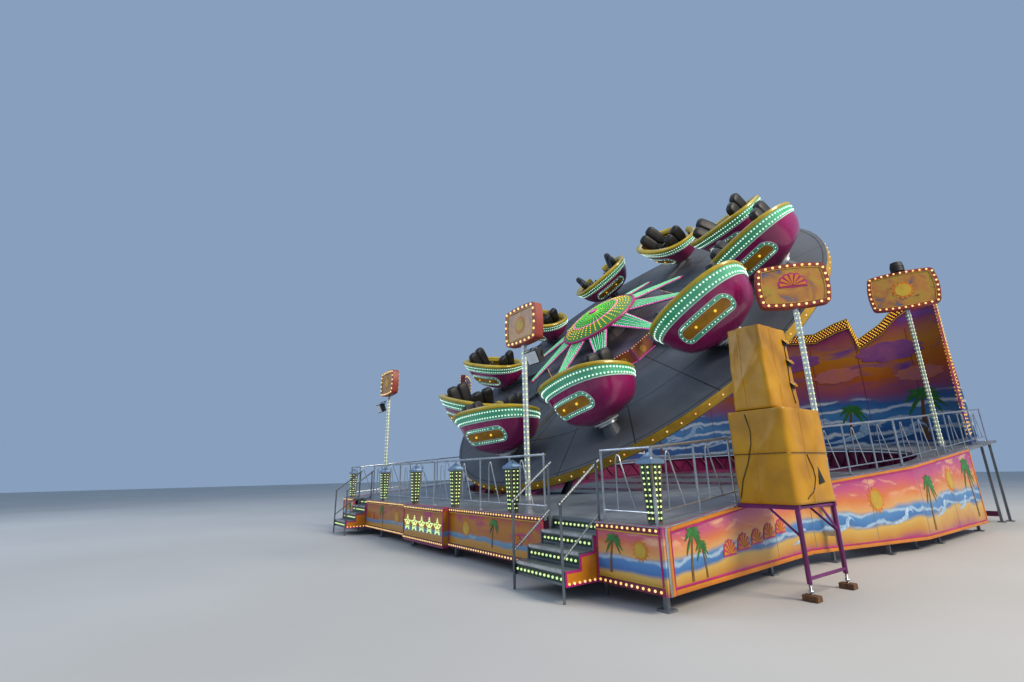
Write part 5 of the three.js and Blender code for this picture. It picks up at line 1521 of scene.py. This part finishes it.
# %% [markdown]
# ## Covered loudspeakers
# Beside the platform a stack of loudspeakers stands on a purple steel frame, under two tailored covers.
# The cloth is PVC-coated polyester: a woven scrim inside, a satin amber coat outside, and sharp creases
# where it was folded in the truck. Its weave is drawn at 6 mm, four times as coarse as the real one.

# %% Tarpaulin, cases and rope
def tarpaulin():
    """Amber coat with faded patches; folds and weave each add their own bump."""
    material, tree, place = new_material("cover_amber_pvc_tarpaulin")
    fade = add(tree, "TexNoise", {"Vector": place, "Scale": 1.6, "Detail": 7.0})
    tint = add(tree, "ValToRGB", [fade], [(0.3, "#a87401"), (0.5, "#c68c02"), (0.7, "#d59c04")])
    crumple = add(tree, "TexNoise", {"Vector": place, "Scale": 2.2, "Detail": 4.0, "Distortion": 1.6})
    gloss = add(tree, "MapRange", [crumple, 0.3, 0.7, 0.3, 0.48])
    weave = add(tree, "TexVoronoi", {"Vector": place, "Scale": 160.0, "Randomness": 0.0},
                distance="CHEBYCHEV")
    creases = add(tree, "Bump", {"Height": crumple, "Strength": 0.3, "Distance": 0.02})
    cloth = add(tree, "Bump", {"Height": weave.outputs["Distance"], "Strength": 0.12, "Distance": 0.001,
                               "Normal": creases})
    shader = add(tree, "BsdfPrincipled", {"Base Color": tint, "Roughness": gloss, "Normal": cloth})
    add(tree, "OutputMaterial", {"Surface": shader})
    return material


TARPAULIN = tarpaulin()
CASE_BLACK = painted("speaker_case_black_textured_paint", "#17181a", "#26272a", 0.6, grain_mm=5, bump=0.4)
# The same black also draws the painted shadow line under the flap of the lower cover.
ROPE_VENT_AND_SHADOW_BLACK = painted("black_rope_vent_cloth_and_painted_flap_shadow", "#15161a", "#2b2c30", 0.6, patch_m=0.02, grain_mm=3,
                     bump=0.6)
print("covers in", TARPAULIN.name)

# %% [markdown]
# A cover is a sleeve with rounded corners that narrows a little upwards and closes over its top. Its
# folds are narrow ridges between flat panels, as in a stiff coated cloth. They could be simulated, but a
# sum of steep waves gives ridges that the seams and the ropes can follow exactly.

# %% Cloth surface and covers
RIDGES = np.array([(4.2, 3.1, 1.1, .2), (-3.6, 5.1, 1.9, 1.3), (2.4, -3.8, 3.3, 2.1), (6.5, 4.6, -2.2, 3.7),
                   (-5.1, -2.4, 4.6, 4.4), (3.7, 8.1, 2.6, 5.2)])
COVER_GAP, OVERLAP = 0.004, 0.012
LOWER = ((6.56, 7.40), (-5.95, -4.78), (1.17, 2.50), .98)
UPPER = ((6.69, 7.26), (-5.93, -5.06), (2.5004, 3.78), .9)
FLAP = {LOWER: 1.86, UPPER: 9.0}


def folds(points):
    """Sum of (1 - |sin(w . p + phase)|)^6 over six steep waves: narrow ridges, wide flat panels."""
    wave = points @ RIDGES[:, :3].T * 0.6 + RIDGES[:, 3]
    return ((1 - np.abs(np.sin(wave))) ** 6 * [.012, .011, .01, .009, .008, .007]).sum(-1)


def around(centre, half, count, reach):
    """Plan of a box with rounded corners: the superellipse of power 16, at even angles, times a reach."""
    c, s, _ = circle(count).T
    r = (np.abs(c) ** 16 + np.abs(s) ** 16) ** (-1 / 16)
    return np.stack([centre[0] + half[0] * c * r * reach, centre[1] + half[1] * s * r * reach], -1)


def cover_cloth(cover):
    """Side rows rise to the top edge, top rows close to the middle, and folds push each point outwards."""
    x, y, z, shrink = cover
    centre, half = (np.mean(x), np.mean(y)), (np.ptp(x) / 2, np.ptp(y) / 2)
    side_rows, top_rows = 34, 9
    rise = np.concatenate([np.linspace(0, 1, side_rows), np.ones(top_rows)])[:, None]
    inwards = np.concatenate([np.ones(side_rows), 0.985 * np.sqrt(np.linspace(1, 0, top_rows))])[:, None]
    plan = around(centre, half, 128, inwards * (1 + (shrink - 1) * rise))
    height = z[0] + COVER_GAP + (z[1] - z[0] - 0.012) * rise + 0.02 * (1 - inwards)
    points = np.dstack([plan, np.broadcast_to(height, plan.shape[:2])])
    slant = np.dstack([plan - centre, np.zeros(plan.shape[:2])]) / [*half, 1]
    lift = COVER_GAP + np.where(points[..., 2] > FLAP[cover], OVERLAP, 0.0) + folds(points)
    lift = lift * np.minimum(1, inwards * 2) * np.where(rise < 1, 1, inwards)
    points = points + unit(slant * np.abs(slant) ** 3) * lift[..., None]
    points[side_rows:, :, 2] += 0.5 * folds(points[side_rows:])
    return patch(points, False, True)


def case_block(x, y, z, shrink):
    """Loudspeaker case under a cover: rings of the rounded plan, closed at the foot and at the top."""
    centre, half = (np.mean(x), np.mean(y)), (np.ptp(x) / 2 - .018, np.ptp(y) / 2 - .018)
    rings = [np.c_[around(centre, half, 48, reach * (1 + (shrink - 1) * rise)),
                   np.full(48, z[0] + rise * np.ptp(z))]
             for rise, reach in ((0, .985), (.012, 1), (.98, 1), (1, .985))]
    return patch(np.stack(rings), False, True, (0, -1))


cases = [case_block(*LOWER[:2], (1.1705, 2.478), .98), case_block(*UPPER[:2], (2.53, 3.75), .9)]
case_piece = build("speaker_cases", cases, [CASE_BLACK], crease=40)
for name, cover, flat, area in (("lower", LOWER, (3.5, 3.83), 6.22), ("upper", UPPER, (3.13, 3.43), 3.87)):
    cloth = build(f"speaker_cover_{name}_cloth", [cover_cloth(cover)], [TARPAULIN], crease=70)
    skin = cloth.modifiers.new("cloth_thickness", "SOLIDIFY")
    skin.thickness = 0.003
    skin.offset = -1
    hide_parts(f"speaker_cover_{name}")

# %% [markdown]
# The covers carry sewn seams, small hoods with black vent cloth under them, and three lashings of black
# rope pulled tight over the folds. A thin black line along the lower edge of the lower cover's flap is
# painted shade: the shadow under the overlapping cloth. Each detail is laid on the same cloth surface, a
# few millimetres out.

# %% Seams, vents and painted flap shadow
OUT = {"x": np.array([1.0, 0, 0]), "y": FRONT}


def on_cover(cover, face, across, height, lift=0.0):
    """A point on the front (face 'y') or the right side (face 'x') of a cover, standing out by lift."""
    (x0, x1), (y0, y1), (z0, z1), shrink = cover
    across, height = np.broadcast_arrays(np.asarray(across, float), height)
    share = 1 + (shrink - 1) * (height - z0) / (z1 - z0)
    if face == "y":
        points = np.stack([across, (y0 + y1) / 2 - (y1 - y0) / 2 * share, height], -1)
    else:
        points = np.stack([(x0 + x1) / 2 + (x1 - x0) / 2 * share, across, height], -1)
    grow = COVER_GAP + np.where(height > FLAP[cover], OVERLAP, 0) + folds(points) + lift
    return points + grow[:, None] * OUT[face]


seams = []
for cover, face, across in ((LOWER, "y", 6.9), (UPPER, "y", 6.88), (LOWER, "x", -5.5), (UPPER, "x", -5.6)):
    z0, z1 = cover[2]
    path = on_cover(cover, face, across, np.linspace(z0 + .02, z1 - .03, 30), 0.001)
    seams.append(sweep(path, np.cross(UP, OUT[face]), OUT[face],
                       [(-.014, -.003), (-.012, .002), (-.002, .0025), (.002, .0045), (.012, .003),
                        (.014, -.003)]))
# A thin black tube along the lower edge of the flap is painted shade: the shadow under the overlap.
for face, across in (("y", np.linspace(6.60, 7.37, 24)), ("x", np.linspace(-5.92, -4.80, 30))):
    seams.append((*tube(on_cover(LOWER, face, across, FLAP[LOWER] + .002, 0.001), 0.005, 6), 1))
turn, reach = np.meshgrid(np.linspace(0, np.pi, 11), np.linspace(0, 1, 6), indexing="ij")
hood = np.stack([.07 * np.sin(turn) * np.sin(reach * np.pi / 2), -.085 * np.cos(turn),
                 .1 * (1 - reach * np.sin(turn) * .9)], -1)
hood = patch(np.concatenate([hood, hood[:, ::-1] - [.003, 0, .003]], 1), False, True, (0, -1))
vent = plate([(-.075, -.01), (.075, -.01), (.06, .085), (-.06, .085)], 0, .004, .001)
for height, across in ((3.52, -5.2), (3.2, -5.17), (2.84, -5.2)):
    base = on_cover(UPPER, "x", [across], [height])[0]
    seams.append(shifted(base, hood))
    seams.append((*moved(facing(OUT["x"], base + [.002, 0, 0]), vent), 1))
base = on_cover(LOWER, "x", [-5.16], [1.5])[0]
vent_patch = plate([(-.09, 0), (.1, .03), (-.05, .25)], 0, .008, .002)
seams.append((*moved(facing(OUT["x"], base + [.002, 0, -.08]), vent_patch), 1))
trim_piece = build("cover_seams_vents_and_flap_shadow", seams, [TARPAULIN, ROPE_VENT_AND_SHADOW_BLACK], crease=60)

# %% [markdown]
# The ropes are 12 mm thick and pulled taut, so each one is a line across the cloth that follows its
# folds. Two cross the lower cover, on its front and its side, and one runs down the upper cover. Their
# lengths are measured along those lines.

# %% Lashings
share = np.linspace(0, 1, 26)
routes = []
across = np.interp(share, [0, .2, .35, .6, .8, 1], [6.85, 6.90, 6.89, 6.79, 6.68, 6.61])
routes.append(on_cover(LOWER, "y", across, 2.44 - 1.2 * share, 0.006))
across = smooth_through(share, np.array([0, .18, .4, .62, .8, 1]),
                        np.array([-5.46, -5.40, -5.37, -5.39, -5.48, -5.68]))
routes.append(on_cover(LOWER, "x", across, 1.84 - 0.6 * share ** 0.9, 0.006))
routes.append(on_cover(UPPER, "x", -5.24 + 0.018 * np.sin(share * 7.0), 3.5 - 0.9 * share, 0.006))
for number, route in enumerate(routes, 1):
    length = float(walked(route)[-1])
    rope = build(f"cover_lashing_{number}", [tube(route, .006, 8)], [ROPE_VENT_AND_SHADOW_BLACK], crease=60)

# %% [markdown]
# The stand is welded tube. Its legs end in jack screws that stand on sawn softwood blocks, which spread
# the load on the tarmac. The blocks get soft edges, and each screw has a thread and a nut.

# %% Blocks and jack screws
dress(STAND_PAINT, "speaker_stand")
thread = np.stack([np.tile([.0155, .0185], 14), np.linspace(.076, .2, 28)], -1)
footing = [plate(rectangle(.096, .066), 0.0005, .074, .006),
           (*turned(np.r_[[[.004, .075]], thread, [[.004, .201]]], 14), 1), (*bolts(0, .1, 1, .032, .026), 1)]
build("stand_footings", [shifted([7.35, y, 0], part) for y in (-5.89, -4.81) for part in footing],
      [WOOD_BLOCK, RAIL_STEEL])

# %% [markdown]
# ## Studio
# The ride stands on a plain pale floor under soft light. The photograph was taken outdoors under a pale
# sky. A large warm key light stands high on the right, with a weaker fill at the front, one light above
# and a bright world, so that the dark gondola undersides stay readable. The floor runs far past the ride.

# %% Floor and world
def floor_paint():
    """Matt pale paint whose two greys mix by noise in patches of several metres."""
    material, tree, place = new_material("studio_floor_matt_paint")
    noise = add(tree, "TexNoise", {"Vector": place, "Scale": 0.15, "Detail": 4.0})
    tint = add(tree, "ValToRGB", [noise], [(0.3, "#b9b8b4"), (0.7, "#c4c3bf")])
    shader = add(tree, "BsdfPrincipled", {"Base Color": tint, "Roughness": 0.85})
    add(tree, "OutputMaterial", {"Surface": shader})
    return material


FLOOR_HALF, FLOOR_Z = 120, -0.002
floor_mesh = bpy.data.meshes.new("studio_floor")
corners = np.c_[rectangle(FLOOR_HALF, FLOOR_HALF), np.full(4, FLOOR_Z)]
floor_mesh.from_pydata(corners.tolist(), [], [(0, 1, 2, 3)])
floor_mesh.materials.append(floor_paint())
floor = link(bpy.data.objects.new("studio_floor", floor_mesh))

world = bpy.data.worlds.new("soft_sky")
world.use_nodes = True
sky = world.node_tree.nodes["Background"].inputs
sky["Color"].default_value = linear("#a9c6ea")
sky["Strength"].default_value = 0.62
bpy.context.scene.world = world
print("floor and sky ready")

# %% [markdown]
# The lights are soft squares that look at the middle of the ride. The camera was solved from the
# photograph: its place in metres, its heading, how far it looks up and how far it is rolled.

# %% Lights and camera
AIM = (0, 0, 3.5)
for name, spot, size, power, tint in (("key", (30, 2, 24), 12, 10500, "#fff0da"),
                                      ("fill", (-14, -28, 18), 18, 2600, "#e8f0ff"),
                                      ("top", (0, 6, 34), 20, 2300, "#ffffff")):
    lamp = bpy.data.lights.new(name, "AREA")
    lamp.size = size
    lamp.energy = power
    lamp.color = linear(tint)[:3]
    light = link(bpy.data.objects.new(name, lamp))
    light.location = spot
    x, y, z = unit(np.subtract(AIM, spot))
    light.rotation_euler = (math.acos(-z), 0, math.atan2(y, x) - math.pi / 2)

YAW, PITCH, ROLL = np.radians([54.79, 15.45, -1.2])
CAMERA_PLACE = [10.738, -12.927, 1.668]
lens = bpy.data.cameras.new("photo_camera")
lens.lens = 16.78
lens.sensor_width = 36
lens.clip_end = 400
camera = link(bpy.data.objects.new("photo_camera", lens))
camera.matrix_world = Matrix(spun("z", YAW, CAMERA_PLACE) @ spun("x", math.pi / 2 + PITCH) @ spun("z", ROLL))
bpy.context.scene.camera = camera
bpy.context.scene.view_settings.view_transform = "Standard"
print("camera stands at", CAMERA_PLACE)
